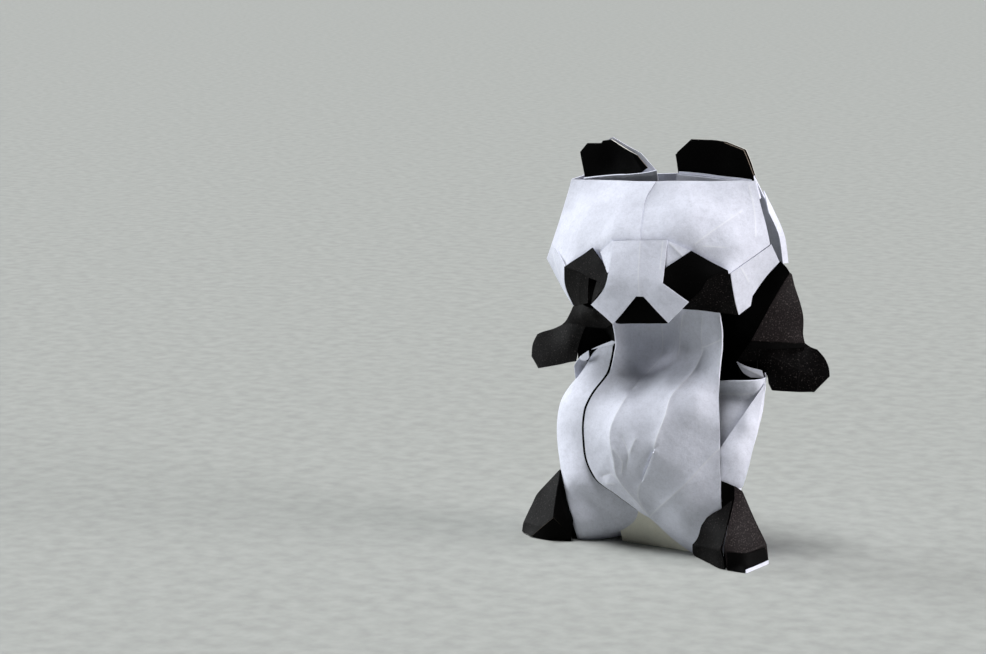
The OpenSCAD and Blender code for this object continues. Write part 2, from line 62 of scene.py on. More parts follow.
# Half the width of the line that a fold leaves in the paper
FOLD_LINE = 0.2
# A turn that is sharper than this is a fold, not a curve
SHARP_FOLD = math.radians(38)
# Distance between the places along its edge that set how a flap is curved
HOLD_GAP = 1.8
# A stretch of an edge whose first place is this near to the end before it needs no place added
BESIDE = 0.5
# Lowest that the middle of a layer comes
OFF_THE_TABLE = 0.03
# How far a flap may pass by the places that hold it
GIVES_WAY = 1e-4
# Shares of the grain: from one row of points to the next, and how near points come to the rim and to folds
ROW_GAP = 0.87
CLEAR_OF_RIM = 0.45
CLEAR_OF_FOLDS = 0.3
# Distance from the rim at which a fold's line of points stops
FOLD_STOPS = 0.12
HEAD_TILT = math.radians(3.0)
CHIN_Z = 45.0
FRONT = (0.45, -0.88, 0.12)


# Paper, as procedural materials

def paper(name, base, roughness, sheen, mottle, speck, fibre, relief, fold_tint):
    """Uncoated paper: broad mottling, fine fibres that catch the light, small specks, and fold lines."""
    m = bpy.data.materials.new(name)
    m.use_nodes = True
    nodes, links = m.node_tree.nodes, m.node_tree.links
    nodes.clear()
    out = nodes.new("ShaderNodeOutputMaterial")
    bsdf = nodes.new("ShaderNodeBsdfPrincipled")
    bsdf.inputs["Roughness"].default_value = roughness
    bsdf.inputs["Specular IOR Level"].default_value = sheen
    links.new(bsdf.outputs[0], out.inputs[0])
    place = nodes.new("ShaderNodeTexCoord").outputs["Object"]

    def cloud(size_mm, detail, stretch=None, rough=0.6):
        at = place
        if stretch:
            turn = nodes.new("ShaderNodeMapping")
            turn.inputs["Rotation"].default_value = stretch[1]
            turn.inputs["Scale"].default_value = stretch[0]
            links.new(place, turn.inputs["Vector"])
            at = turn.outputs[0]
        n = nodes.new("ShaderNodeTexNoise")
        n.inputs["Scale"].default_value = 1.0 / (size_mm * MM)
        n.inputs["Detail"].default_value = detail
        n.inputs["Roughness"].default_value = rough
        links.new(at, n.inputs["Vector"])
        return n.outputs["Fac"]

    def steps(value, low, high, to_low, to_high):
        r = nodes.new("ShaderNodeMapRange")
        for socket, number in zip(("From Min", "From Max", "To Min", "To Max"), (low, high, to_low, to_high)):
            r.inputs[socket].default_value = number
        links.new(value, r.inputs["Value"])
        return r.outputs[0]

    def laid_over(colour, amount, over):
        mix = nodes.new("ShaderNodeMix")
        mix.data_type = "RGBA"
        links.new(amount, mix.inputs["Factor"])
        if isinstance(colour, tuple):
            mix.inputs[6].default_value = (*colour, 1)
        else:
            links.new(colour, mix.inputs[6])
        mix.inputs[7].default_value = (*over, 1)
        return mix.outputs[2]

    darker = tuple(c * 0.72 for c in base)
    colour = base
    for size, detail, rough, low, high, share in (
        (7.0, 3, 0.6, 0.38, 0.70, 1.0), (1.3, 6, 0.75, 0.45, 0.72, 1.2), (0.5, 3, 0.7, 0.50, 0.70, 0.9),
    ):
        colour = laid_over(colour, steps(cloud(size, detail, rough=rough), low, high, 0, mottle * share), darker)
    for k, lie in enumerate(((0.3, 0.2, 0.5), (1.2, 0.9, 2.1), (2.2, 1.7, 1.1))):
        hair = cloud(0.3, 2, ((1.0, 0.16, 1.0), lie))
        colour = laid_over(colour, steps(hair, fibre[0], fibre[0] + 0.07, 0, fibre[1]), fibre[2])
    colour = laid_over(colour, steps(cloud(0.28, 1), speck[0], speck[0] + 0.06, 0, speck[1]), speck[2])
    line = nodes.new("ShaderNodeAttribute")
    line.attribute_name = "fold_line"
    colour = laid_over(colour, steps(line.outputs["Fac"], 0, 1, 0, fold_tint[0]), fold_tint[1])
    links.new(colour, bsdf.inputs["Base Color"])

    first = nodes.new("ShaderNodeBump")
    first.inputs["Strength"].default_value = relief[0]
    first.inputs["Distance"].default_value = 0.08 * MM
    links.new(cloud(0.45, 5, rough=0.65), first.inputs["Height"])
    second = nodes.new("ShaderNodeBump")
    second.inputs["Strength"].default_value = relief[1]
    second.inputs["Distance"].default_value = 0.5 * MM
    links.new(cloud(4.5, 2), second.inputs["Height"])
    links.new(first.outputs[0], second.inputs["Normal"])
    links.new(second.outputs[0], bsdf.inputs["Normal"])
    return m


# Along its fold lines the white paper is painted lighter: a painted highlight on the folds.
WHITE = paper(
    "white paper", (0.79, 0.81, 0.915), 0.75, 0.2, 0.4,
    speck=(0.72, 0.45, (0.40, 0.40, 0.46)), fibre=(0.64, 0.35, (0.60, 0.61, 0.70)),
    relief=(0.5, 0.4), fold_tint=(0.5, (0.93, 0.945, 0.99)),
)
BLACK = paper(
    "black paper", (0.0016, 0.0013, 0.0013), 0.58, 0.05, 0.5,
    speck=(0.645, 0.6, (0.055, 0.046, 0.045)), fibre=(0.65, 0.5, (0.022, 0.018, 0.018)),
    relief=(0.5, 0.25), fold_tint=(0.2, (0.02, 0.018, 0.018)),
)
# A lighter, browner copy of the black paper for the right arm and the right foot's outer face, where the lamp on the
# right lights them: painted light.
BLACK_PAINTED_LIT = paper(
    "black paper, painted lighter where lit", (0.011, 0.0082, 0.0086), 0.55, 0.07, 0.5,
    speck=(0.615, 0.7, (0.075, 0.062, 0.060)), fibre=(0.62, 0.5, (0.030, 0.024, 0.024)),
    relief=(0.5, 0.25), fold_tint=(0.2, (0.03, 0.026, 0.025)),
)
# A darker copy of the black paper for faces and layers that lie in shade, such as the ears, the nose, the linings,
# the insides of the arms and the lower parts of the feet: painted shade.
BLACK_PAINTED_SHADE = paper(
    "black paper, painted darker where shaded", (0.0008, 0.0007, 0.0007), 0.6, 0.04, 0.5,
    speck=(0.70, 0.3, (0.02, 0.018, 0.018)), fibre=(0.68, 0.3, (0.006, 0.005, 0.005)),
    relief=(0.4, 0.2), fold_tint=(0.2, (0.008, 0.007, 0.007)),
)
# White paper painted cream and brighter, for the warm light that shines through the flap between the legs: painted
# light.
WHITE_PAINTED_WARM_GLOW = paper(
    "white paper, painted cream and bright", (0.90, 0.885, 0.76), 0.75, 0.25, 0.15,
    speck=(0.74, 0.4, (0.40, 0.38, 0.30)), fibre=(0.66, 0.25, (0.52, 0.50, 0.40)),
    relief=(0.2, 0.15), fold_tint=(0.2, (0.8, 0.78, 0.68)),
)
CORE = paper(
    "cut edge of the sheet", (0.74, 0.72, 0.66), 0.8, 0.2, 0.2,
    speck=(0.74, 0.4, (0.40, 0.38, 0.34)), fibre=(0.66, 0.3, (0.55, 0.52, 0.46)),
    relief=(0.2, 0.1), fold_tint=(0.1, (0.8, 0.78, 0.7)),
)
# A brownish paper for the rim of some edges of the black side, on the ears and the left foot.
BROWNISH_EDGE = paper(
    "brownish edge of the black side", (0.20, 0.165, 0.13), 0.75, 0.2, 0.5,
    speck=(0.68, 0.7, (0.45, 0.41, 0.34)), fibre=(0.6, 0.6, (0.03, 0.026, 0.024)),
    relief=(0.3, 0.1), fold_tint=(0.1, (0.4, 0.36, 0.3)),
)


# Points, lines and surfaces

def tilted(x, y, z):
    """A place on the upright head, x and y from the figure's middle and z above the floor, once it leans."""
    up = z - CHIN_Z
    return (
        x * math.cos(HEAD_TILT) - up * math.sin(HEAD_TILT),
        y,
        CHIN_Z + up * math.cos(HEAD_TILT) + x * math.sin(HEAD_TILT),
    )


def smooth_line(points, steps):
    """A smooth curve through all the points, with that many steps from each to the next."""
    p = np.asarray(points, float)
    if len(p) == 2:
        t = np.linspace(0, 1, steps + 1)[:, None]
        return p[0] * (1 - t) + p[1] * t
    ends = np.vstack([2 * p[0] - p[1], p, 2 * p[-1] - p[-2]])
    t = np.linspace(0, 1, steps, endpoint=False)[:, None]
    rows = []
    for k in range(len(p) - 1):
        a, b, c, d = ends[k:k + 4]
        rows.append(0.5 * (
            2 * b + (c - a) * t + (2 * a - 5 * b + 4 * c - d) * t ** 2 + (3 * b - a - 3 * c + d) * t ** 3
        ))
    return np.vstack(rows + [p[-1:]])


def evenly(line, gap):
    """The same line with points that are about one gap apart. It keeps its two ends."""
    line = np.asarray(line, float)
    run = np.concatenate([[0], np.cumsum(np.linalg.norm(np.diff(line, axis=0), axis=1))])
    count = max(1, int(round(run[-1] / gap)))
    at = np.linspace(0, run[-1], count + 1)
    return np.stack([np.interp(at, run, line[:, k]) for k in range(line.shape[1])], axis=1)


def away_from(points, line):
    """Distance of each point from a line, and its side of it: positive on the left of the line's direction."""
    best = np.full(len(points), 1e9)
    side = np.zeros(len(points))
    for a, b in zip(line[:-1], line[1:]):
        d = b - a
        t = np.clip(((points - a) @ d) / max(d @ d, 1e-12), 0, 1)
        gap = points - (a + t[:, None] * d)
        r = np.linalg.norm(gap, axis=1)
        near = r < best
        best[near] = r[near]
        if points.shape[1] == 2:
            side[near] = np.sign(d[0] * gap[near, 1] - d[1] * gap[near, 0])
    return best, side


def inside(points, loop):
    """Which of the flat points lie inside the loop."""
    hit = np.zeros(len(points), bool)
    for a, b in zip(loop, np.roll(loop, -1, axis=0)):
        if a[1] == b[1]:
            continue
        crosses = (a[1] > points[:, 1]) != (b[1] > points[:, 1])
        at = a[0] + (points[:, 1] - a[1]) * (b[0] - a[0]) / (b[1] - a[1])
        hit ^= crosses & (points[:, 0] < at)
    return hit


def through(places, heights, wanted):
    """Height of a thin springy sheet at each wanted place, where it is held at the given places."""
    def pull(a, b):
        r2 = ((a[:, None, :] - b[None, :, :]) ** 2).sum(2)
        return r2 * np.log(r2 + 1e-9)
    n = len(places)
    m = np.zeros((n + 3, n + 3))
    m[:n, :n] = pull(places, places) + GIVES_WAY * np.eye(n)
    m[:n, n] = m[n, :n] = 1
    m[:n, n + 1:] = places
    m[n + 1:, :n] = places.T
    w = np.linalg.solve(m, np.concatenate([heights, np.zeros(3)]))
    return pull(wanted, places) @ w[:n] + w[n] + wanted @ w[n + 1:]


def wavering(points):
    """The whole sheet wavers alike, so that flaps which meet still meet."""
    moved = points.copy()
    for height, length in (WAVER_LONG, WAVER_SHORT):
        moved += height * np.array([noise.noise_vector(Vector(p) / length) for p in points])
    return moved


def flap_object(name, points, triangles, sides, thick, line, edge_of=None, edges=None):
    """A thin closed piece from one surface. sides holds its outer, inner and edge paper, line says how near
    each point is to a fold line, and edge_of and edges which stretch of the rim takes another paper."""
    points = wavering(points)
    points[:, 2] = np.maximum(points[:, 2], OFF_THE_TABLE)
    t = np.asarray(triangles)
    cross = np.cross(points[t[:, 1]] - points[t[:, 0]], points[t[:, 2]] - points[t[:, 0]])
    normal = np.zeros_like(points)
    for k in range(3):
        np.add.at(normal, t[:, k], cross)
    normal /= np.maximum(np.linalg.norm(normal, axis=1), 1e-9)[:, None]
    n = len(points)
    both = np.vstack([points + normal * thick / 2, points - normal * thick / 2])
    both[:, 2] = np.maximum(both[:, 2], 0.0)
    directed = {}
    for a, b, c in t.tolist():
        for e in ((a, b), (b, c), (c, a)):
            directed[e] = True
    rim = [e for e in directed if (e[1], e[0]) not in directed]
    faces = t.tolist() + (t[:, ::-1] + n).tolist() + [(a, a + n, b + n, b) for a, b in rim]
    papers = [0] * len(t) + [1] * len(t)
    extra = edges or {}
    rim_papers = list(dict.fromkeys(extra.values()))
    for a, b in rim:
        run = None if edge_of is None else edge_of[a]
        papers.append(3 + rim_papers.index(extra[run]) if run in extra else 2)
    mesh = bpy.data.meshes.new(name)
    mesh.from_pydata(((both + FROM_MODEL_MIDDLE) * MM).tolist(), [], faces)
    for material in list(sides) + rim_papers:
        mesh.materials.append(material)
    mesh.polygons.foreach_set("material_index", papers)
    mesh.polygons.foreach_set("use_smooth", [True] * len(faces))
    mesh.set_sharp_from_angle(angle=SHARP_FOLD)
    mark = mesh.attributes.new("fold_line", "FLOAT", "POINT")
    mark.data.foreach_set("value", np.concatenate([line, line]).astype(np.float32))
    mesh.update()
    piece = bpy.data.objects.new(name, mesh)
    bpy.context.scene.collection.objects.link(piece)
    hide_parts(SHEET)
    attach(piece, "root")
    return piece


def joined_up(runs):
    """The stretches of an edge, once each starts where the one before it ends, or beside that place."""
    whole = [list(runs[0])]
    for run in runs[1:]:
        end = whole[-1][-1]
        starts_there = len(run) > 1 and math.dist(run[0], end) < BESIDE
        whole.append(list(run) if starts_there else [end, *run])
    return whole


def flap(name, runs, sides, held=(), folds=(), facing=FRONT, grain=GRAIN, thick=FLAP, edges=None):
    """A flap with a drawn outline. runs are the stretches of its edge, one after the other, and a stretch may
    leave out the place where the one before it ends. It is straight to the next place, or smooth through more.
    held are places inside that the flap passes through. folds are (line, height, reach, ledge): the paper
    stands up along the line by that height, and falls away over the reach, on both sides or, for a ledge, on
    the left of the line alone. facing is roughly where its outer side looks. edges gives the paper of some
    stretches' rim, by their number."""
    lines = [evenly(smooth_line(r, 12), grain) for r in joined_up(runs)]
    loop = np.vstack([l[:-1] for l in lines])
    run_of = np.concatenate([np.full(len(l) - 1, k) for k, l in enumerate(lines)])
    middle = loop.mean(0)
    across = np.linalg.svd(loop - middle)[2][2]
    if across @ np.asarray(facing) < 0:
        across = -across
    u = np.cross((0, 0, 1.0), across)
    u = np.array([1.0, 0, 0]) if np.linalg.norm(u) < 1e-6 else u / np.linalg.norm(u)
    v = np.cross(across, u)
    to_flat = np.stack([u, v], axis=1)
    flat = (loop - middle) @ to_flat
    area = 0.5 * np.sum(flat[:, 0] * np.roll(flat[:, 1], -1) - flat[:, 1] * np.roll(flat[:, 0], -1))
    if area < 0:
        flat, loop, run_of = flat[::-1], loop[::-1], np.roll(run_of[::-1], -1)

    fold_lines, marks = [], []
    for line, height, reach, ledge in folds:
        path = evenly((smooth_line(line, 8) - middle) @ to_flat, grain)
        step = np.gradient(path, axis=0)
        step /= np.maximum(np.linalg.norm(step, axis=1), 1e-9)[:, None]
        beside = np.stack([-step[:, 1], step[:, 0]], axis=1) * FOLD_LINE
        fold_lines.append((path, height, reach, ledge))
        marks += [path, path + beside, path - beside]
    low, high = flat.min(0), flat.max(0)
    rows = np.arange(low[1], high[1], grain * ROW_GAP)
    cols = np.arange(low[0], high[0], grain)
    grid = np.array([(x + (grain / 2 if k % 2 else 0), y) for k, y in enumerate(rows) for x in cols])
    grid = grid[inside(grid, flat)] if len(grid) else grid.reshape(0, 2)
    keep = away_from(grid, np.vstack([flat, flat[:1]]))[0] > grain * CLEAR_OF_RIM
    for path in marks:
        keep &= away_from(grid, path)[0] > grain * CLEAR_OF_FOLDS
    grid = grid[keep]
    kept_marks = []
    for path in marks:
        ok = inside(path, flat) & (away_from(path, np.vstack([flat, flat[:1]]))[0] > FOLD_STOPS)
        run = []
        for point, good in zip(path, ok):
            if good:
                run.append(point)
            elif run:
                kept_marks.append(run)
                run = []
        if run:
            kept_marks.append(run)
    places = [Vector(p) for p in flat]
    loop_ids = list(range(len(places)))
    joined = []
    for path in kept_marks:
        start = len(places)
        places += [Vector(p) for p in path]
        joined += [(k, k + 1) for k in range(start, len(places) - 1)]
    places += [Vector(p) for p in grid]
    spots, _, faces, _, _, _ = delaunay_2d_cdt(places, joined, [loop_ids], 1, 1e-5, False)
    spots = np.array([tuple(s) for s in spots])
    triangles = np.array([f for f in faces if len(f) == 3])
    a, b, c = spots[triangles[:, 0]], spots[triangles[:, 1]], spots[triangles[:, 2]]
    turn = (b[:, 0] - a[:, 0]) * (c[:, 1] - a[:, 1]) - (b[:, 1] - a[:, 1]) * (c[:, 0] - a[:, 0])
    triangles[turn < 0] = triangles[turn < 0][:, ::-1]
    triangles = triangles[inside((a + b + c) / 3, flat)]

    anchors = [l[::max(1, int(HOLD_GAP / grain))] for l in lines] + ([np.array(held, float)] if len(held) else [])
    anchors = np.vstack(anchors)
    anchors = np.unique(np.round(anchors, 3), axis=0)
    height = through((anchors - middle) @ to_flat, (anchors - middle) @ across, spots)
    mark = np.zeros(len(spots))
    for path, rise, reach, ledge in fold_lines:
        far, side = away_from(spots, path)
        fall = np.exp(-far / reach)
        height += rise * (np.where((side > 0) & (far > FOLD_LINE * 0.4), fall, 0) if ledge else fall)
        mark = np.maximum(mark, np.clip(1 - far / FOLD_LINE, 0, 1))
    points = middle + spots @ to_flat.T + height[:, None] * across
    nearest = np.argmin(((spots[:, None, :] - flat[None, :, :]) ** 2).sum(2), axis=1) if edges else None
    edge_of = run_of[nearest] if edges else None
    return flap_object(name, points, triangles, sides, thick, mark, edge_of, edges)


def wrapped(name, rows, sides, folds=()):
    """A layer that goes round the figure, as rows of places from top to bottom, each from left to right."""
    rows = np.asarray(rows, float)
    along = [smooth_line(r, 10) for r in rows]
    turned = [smooth_line(c, 10) for c in np.swapaxes(np.array(along), 0, 1)]
    dense = np.swapaxes(np.array(turned), 0, 1)
    count = max(4, int(np.linalg.norm(np.diff(dense, axis=1), axis=2).sum(1).max() / GRAIN))
    depth = max(4, int(np.linalg.norm(np.diff(dense, axis=0), axis=2).sum(0).max() / GRAIN))

    def resampled(line, n):
        at = np.linspace(0, len(line) - 1, n + 1)
        return np.stack([np.interp(at, np.arange(len(line)), line[:, k]) for k in range(3)], axis=1)

    grid = np.array([resampled(r, count) for r in dense])
    grid = np.swapaxes(np.array([resampled(grid[:, j], depth) for j in range(count + 1)]), 0, 1)
    m, n = grid.shape[:2]
    points = grid.reshape(-1, 3)
    cell = (np.arange(m - 1)[:, None] * n + np.arange(n - 1)[None, :]).ravel()
    triangles = np.vstack([
        np.stack([cell, cell + n, cell + n + 1], axis=1),
        np.stack([cell, cell + n + 1, cell + 1], axis=1),
    ])
    cross = np.cross(np.gradient(grid, axis=0), np.gradient(grid, axis=1)).reshape(-1, 3)
    outward = cross / np.maximum(np.linalg.norm(cross, axis=1), 1e-9)[:, None]
    mark = np.zeros(len(points))
    for line, height, reach, _ in folds:
        far = away_from(points, smooth_line(line, 8))[0]
        points = points + outward * (height * np.exp(-far / reach))[:, None]
        mark = np.maximum(mark, np.clip(1 - far / (GRAIN * 0.7), 0, 1))
    return flap_object(name, points, triangles, sides, FLAP, mark)


ALL_WHITE = (WHITE, WHITE, WHITE)
ALL_BLACK = (BLACK, BLACK, BLACK)
# Black paper painted lighter where lit: painted light.
ALL_BLACK_PAINTED_LIT = (BLACK_PAINTED_LIT, BLACK_PAINTED_LIT, BLACK_PAINTED_LIT)
# Black paper painted darker where shaded: painted shade.
ALL_BLACK_PAINTED_SHADE = (BLACK_PAINTED_SHADE, BLACK_PAINTED_SHADE, BLACK_PAINTED_SHADE)
BLACK_OVER_WHITE = (BLACK, WHITE, BLACK)
WHITE_OVER_BLACK = (WHITE, BLACK, WHITE)


# Head. L and R are the viewer's left and right.

CROWN = (-0.2, -3.0, 70.6)
BROW_L = (-20.8, 1.9, 69.4)
BROW_R = (18.2, 1.9, 71.3)
TEMPLE_L = (-23.8, -0.6, 57.0)
TEMPLE_R = (21.9, 0.3, 59.8)
CHEEK_L = (-25.3, 0.1, 53.6)
CHEEK_R = (23.3, 1.7, 56.4)
JAW_L = (-17.5, -3.4, 45.4)
JAW_R = (17.5, -3.4, 46.6)
EYE_TOP_L = (-11.1, -7.9, 58.0)
EYE_TOP_R = (9.7, -7.9, 58.8)
EYE_OUT_L = (-17.7, -6.7, 53.5)
EYE_OUT_R = (16.7, -6.6, 55.4)
EYE_IN_L = (-6.5, -10.2, 54.2)
EYE_IN_R = (5.5, -10.4, 55.4)
EYE_IN_LOW_R = (5.6, -11.2, 52.8)
MUZZLE_TOP_L = (-6.3, -9.0, 59.7)
MUZZLE_TOP_R = (5.2, -9.0, 60.7)
MUZZLE_CORNER_L = (-9.7, -10.8, 47.35)
MUZZLE_CORNER_R = (11.0, -11.4, 49.6)
MUZZLE_TIP_L = (-4.65, -11.9, 44.2)
MUZZLE_TIP_R = (7.25, -12.3, 45.5)
NOTCH_L = (0.15, -11.7, 49.95)
NOTCH_R = (1.85, -11.7, 50.05)


def forehead():
    # The two halves lap at the centre fold, the left one in front
    centre = [CROWN, (-1.5, -4.3, 67.6), (-1.3, -6.2, 64.6), (-0.5, -8.7, 60.5), (-0.3, -9.0, 57.5)]
    flap(
        "forehead_left",
        [
            [BROW_L, (-14.0, 0.5, 69.85), (-6.9, -1.4, 70.25), CROWN],
            centre,
            [centre[-1], (-7, -8.0, 55.5), (-12.5, -6.6, 52.5), (-17.4, -6.2, 53.3)],
            [TEMPLE_L],
            [(-23.2, 0.2, 59.8), (-22.7, 1.0, 62.4), (-21.8, 1.5, 65.9), BROW_L],
        ],
        WHITE_OVER_BLACK,
        held=[(-11.0, -7.3, 57.9), (-7.0, -8.3, 59.8), (-9.8, -6.9, 60.5), (-6.1, -6.0, 64.3), (-14.5, -3.4, 64.0)],
    )
    right = [(x - 0.1, y + 0.16, z) for x, y, z in centre]
    flap(
        "forehead_right",
        [
            [right[0], (6.2, -1.4, 70.9), (12.7, 0.1, 71.2), BROW_R],
            [(19.2, 1.5, 67.9), (20.6, 1.0, 63.9), TEMPLE_R],
            [(16.8, -6.2, 54.8)],
            [(12.0, -6.6, 53.5), (6.0, -8.2, 55.5), right[-1]],
            right[::-1],
        ],
        WHITE_OVER_BLACK,
        held=[(9.7, -7.3, 58.8), (5.8, -8.3, 60.5), (8.4, -5.9, 65.2), (14.3, -5.3, 60.0), (17.6, -3.8, 60.0)],
        folds=[
            ([(16.8, -1.4, 65.8), (13.9, -4.4, 63.3), (10.2, -7.1, 60.0)], 0.2, 0.9, False),
            ([(15.0, -4.0, 59.0), (11.5, -6.6, 59.6)], 0.05, 0.8, False),
            ([(17.3, 1.0, 70.6), (18.8, 0.2, 66.0), (19.6, -1.0, 61.5)], 0.14, 1.6, False),
        ],
    )


def cheeks():
    flap(
        "cheek_left",
        [
            [TEMPLE_L, CHEEK_L], [(-21.5, -1.7, 49.4), JAW_L],
            [(-18.4, -4.9, 49.6), EYE_OUT_L], [(-18.6, -5.7, 54.2), TEMPLE_L],
        ],
        WHITE_OVER_BLACK, folds=[([(-22.8, -0.8, 55.0), (-19.5, -3.6, 49.5)], 0.06, 1.0, False)],
    )
    flap(
        "cheek_right",
        [
            [(22.1, 0.5, 59.8), CHEEK_R], [(21.4, 0.4, 53.9), (20.1, -0.5, 51.7), (19.3, -1.4, 50.0)],
            [(19.1, -1.7, 48.2)], [JAW_R],
            [(17.1, -5.0, 51.4), (16.9, -5.95, 54.9)], [(22.1, 0.55, 59.8)],
        ],
        WHITE_OVER_BLACK, folds=[([(18.3, -4.6, 56.0), (20.2, -3.4, 52.7)], 0.1, 0.9, False)],
    )


def bridges():
    """The facets between the muzzle and the eye patches."""
    flap(
        "bridge_left",
        [[(-6.3, -8.9, 59.8), (-9.2, -8.2, 57.3)], [(-6.6, -10.4, 53.8)],
         [(-5.0, -10.6, 55.4), (-5.2, -9.4, 58.8), (-6.3, -8.9, 59.8)]],
        ALL_WHITE,
    )
    flap(
        "bridge_right",
        [[(5.0, -8.8, 60.6), EYE_TOP_R], [(8.5, -8.6, 57.2)], [(4.6, -10.3, 54.8)],
         [(5.0, -8.8, 60.6)]],
        ALL_WHITE, folds=[([(5.6, -8.8, 60.0), (8.2, -8.6, 57.8)], 0.14, 0.6, False)],
    )


def eye_patches():
    # The right eye patch is split along its fold; the upper part takes the black paper painted darker, as painted
    # shade.
    fold = [(16.5, -6.7, 55.4), (13.8, -8.6, 54.1), (12.4, -9.1, 51.7), (10.0, -9.4, 49.3)]
    flap(
        "eye_patch_right_upper",
        [
            [EYE_TOP_R, EYE_OUT_R], [fold[0]], fold, [fold[3], (9.6, -9.4, 49.4)],
            [EYE_IN_LOW_R], [EYE_IN_R], [(8.5, -8.7, 57.8), EYE_TOP_R],
        ],
        (BLACK_PAINTED_SHADE, WHITE, BLACK_PAINTED_SHADE),
    )
    flap(
        "eye_patch_right_lower",
        [
            [EYE_OUT_R, (17.0, -5.2, 51.4), JAW_R], [(14.8, -6.0, 47.2)], [(8.6, -8.6, 48.0)],
            [fold[3]], fold[::-1], [fold[0], EYE_OUT_R],
        ],
        BLACK_OVER_WHITE, edges={0: CORE}, held=[(14.2, -7.0, 50.5)],
    )
    fold = [
        (-17.7, -6.8, 53.5), (-14.2, -8.0, 53.2), (-12.4, -8.7, 52.7), (-11.0, -9.2, 52.3), (-8.9, -9.9, 52.0),
        (-6.4, -10.9, 51.5),
    ]
    flap(
        "eye_patch_left_lower",
        [
            [EYE_OUT_L] + fold[1:4], [fold[3], (-11.3, -8.8, 50.2), (-11.7, -8.2, 47.2)], [(-17.4, -3.4, 45.5)],
            [(-18.4, -4.9, 49.7), EYE_OUT_L],
        ],
        BLACK_OVER_WHITE, folds=[([(-13.4, -8.0, 51.8), (-14.8, -6.0, 46.4)], 0.1, 1.5, False)],
    )
    flap(
        "eye_patch_left_fold",
        [
            [(-9.0, -9.8, 52.0), fold[5]], [(-8.6, -10.1, 49.3), (-10.2, -9.2, 47.4)], [(-10.6, -9.0, 47.3)],
            [(-9.6, -9.5, 50.5), (-9.0, -9.8, 52.0)],
        ],
        BLACK_OVER_WHITE,
    )
    flap(
        "eye_patch_left_upper",
        [[EYE_TOP_L, EYE_IN_L], [(-6.2, -10.6, 53.2), fold[5]], fold[::-1], [fold[0], EYE_TOP_L]],
        BLACK_OVER_WHITE,
    )
    # A sheet of the black paper painted darker, laid in the gap between the two lower folds as painted shade
    flap(
        "eye_lining_left",
        [
            [(-16.6, -4.6, 53.0), (-7.0, -8.2, 53.0)], [(-9.0, -6.0, 46.8)],
            [(-16.0, -1.6, 45.6)], [(-16.6, -4.6, 53.0)],
        ],
        ALL_BLACK_PAINTED_SHADE,
    )


def muzzle():
    flap(
        "muzzle",
        [
            [MUZZLE_TOP_L, (-0.1, -9.5, 60.3), MUZZLE_TOP_R],
            [(5.5, -10.7, 55.4), (5.7, -11.6, 52.8)], [MUZZLE_CORNER_R],
            [MUZZLE_TIP_R], [NOTCH_R], [NOTCH_L], [MUZZLE_TIP_L],
            [MUZZLE_CORNER_L],
            [(-7.8, -11.2, 49.4), (-6.4, -11.6, 51.6), (-5.9, -11.3, 54.2), (-5.8, -10.2, 57.4), MUZZLE_TOP_L],
        ],
        WHITE_OVER_BLACK, held=[(0.2, -10.9, 55.8), (0.4, -11.6, 52.0)],
        folds=[
            ([(-0.1, -9.5, 60.3), (0.2, -10.9, 55.8), (1.0, -11.7, 50.0)], 0.09, 1.0, False),
            ([(4.4, -9.4, 60.2), (4.7, -10.9, 55.4)], 0.08, 0.9, False),
        ],
    )
    # The nose takes the black paper painted darker, as painted shade.
    flap(
        "nose",
        [
            [(-1.4, -10.6, 50.8), (3.2, -10.6, 51.0)], [(7.3, -10.6, 46.9)],
            [(6.35, -10.6, 45.15)], [(-4.5, -10.5, 44.1)],
            [(-7.8, -10.0, 45.9)], [(-1.4, -10.6, 50.8)],
        ],
        ALL_BLACK_PAINTED_SHADE,
    )


def jaw_lining():
    """Layers of the black paper painted darker as shade, behind the nose and the eye patches, which run back to the
    shoulder band.
    """
    flap(
        "jaw_lining",
        [
            [(-17.0, -3.0, 46.4), (17.0, -2.8, 47.6)], [(14.6, -4.8, 47.4), (7.5, -7.6, 47.6)],
            [(5.4, -8.6, 45.0)], [(-5.2, -8.6, 43.8)],
            [(-9.0, -7.6, 45.6)], [(-13.0, -5.0, 45.6), (-17.0, -3.0, 46.4)],
        ],
        ALL_BLACK_PAINTED_SHADE, facing=(0, -0.3, -1),
    )


def back_of_head():
    crown_y, nape_y, nape_flare = 7.0, 8.5, 2.0
    ends = [(18.0, 5.0, 71.1), (21.0, 5.5, 63.5), (22.95, 6.1, 55.0), (18.45, 6.9, 46.0)]
    depths = [crown_y, nape_y, nape_y + nape_flare / 2, nape_y + nape_flare]
    shares = (-1, -0.42, 0, 0.42, 1)
    rows = [
        [tilted(x * s, depth - (depth - y) * s * s, z) for s in reversed(shares)]
        for (x, y, z), depth in zip(ends, depths)
    ]
    wrapped("back_of_head", rows, ALL_WHITE)
    rim = [(18.5, 5.0, 69.3), (20.5, 5.2, 65.3), (21.8, 5.6, 62.3), (22.5, 6.0, 60.0), (23.2, 6.2, 55.6)]
    turned_in = [(x - 0.5, y - 1.4, z) for x, y, z in rim[1:]]
    flap(
        "back_of_head_rim", [rim, [rim[-1], turned_in[-1]], turned_in[::-1], [turned_in[0], rim[0]]],
        ALL_WHITE, facing=(1, -0.3, 0),
    )
    for name, side, brow in (("crown_fold_left", -1, BROW_L), ("crown_fold_right", 1, BROW_R)):
        end = tilted(18.0 * side, 5.0, 71.1)
        low = tilted(19.3 * side, 4.4, 67.0)
        flap(
            name,
            [[brow, end], [low], [(brow[0] + 0.9 * side, brow[1] - 0.2, brow[2] - 3.4)],
             [brow]],
            ALL_WHITE, facing=(side, 0, 0.3),
        )


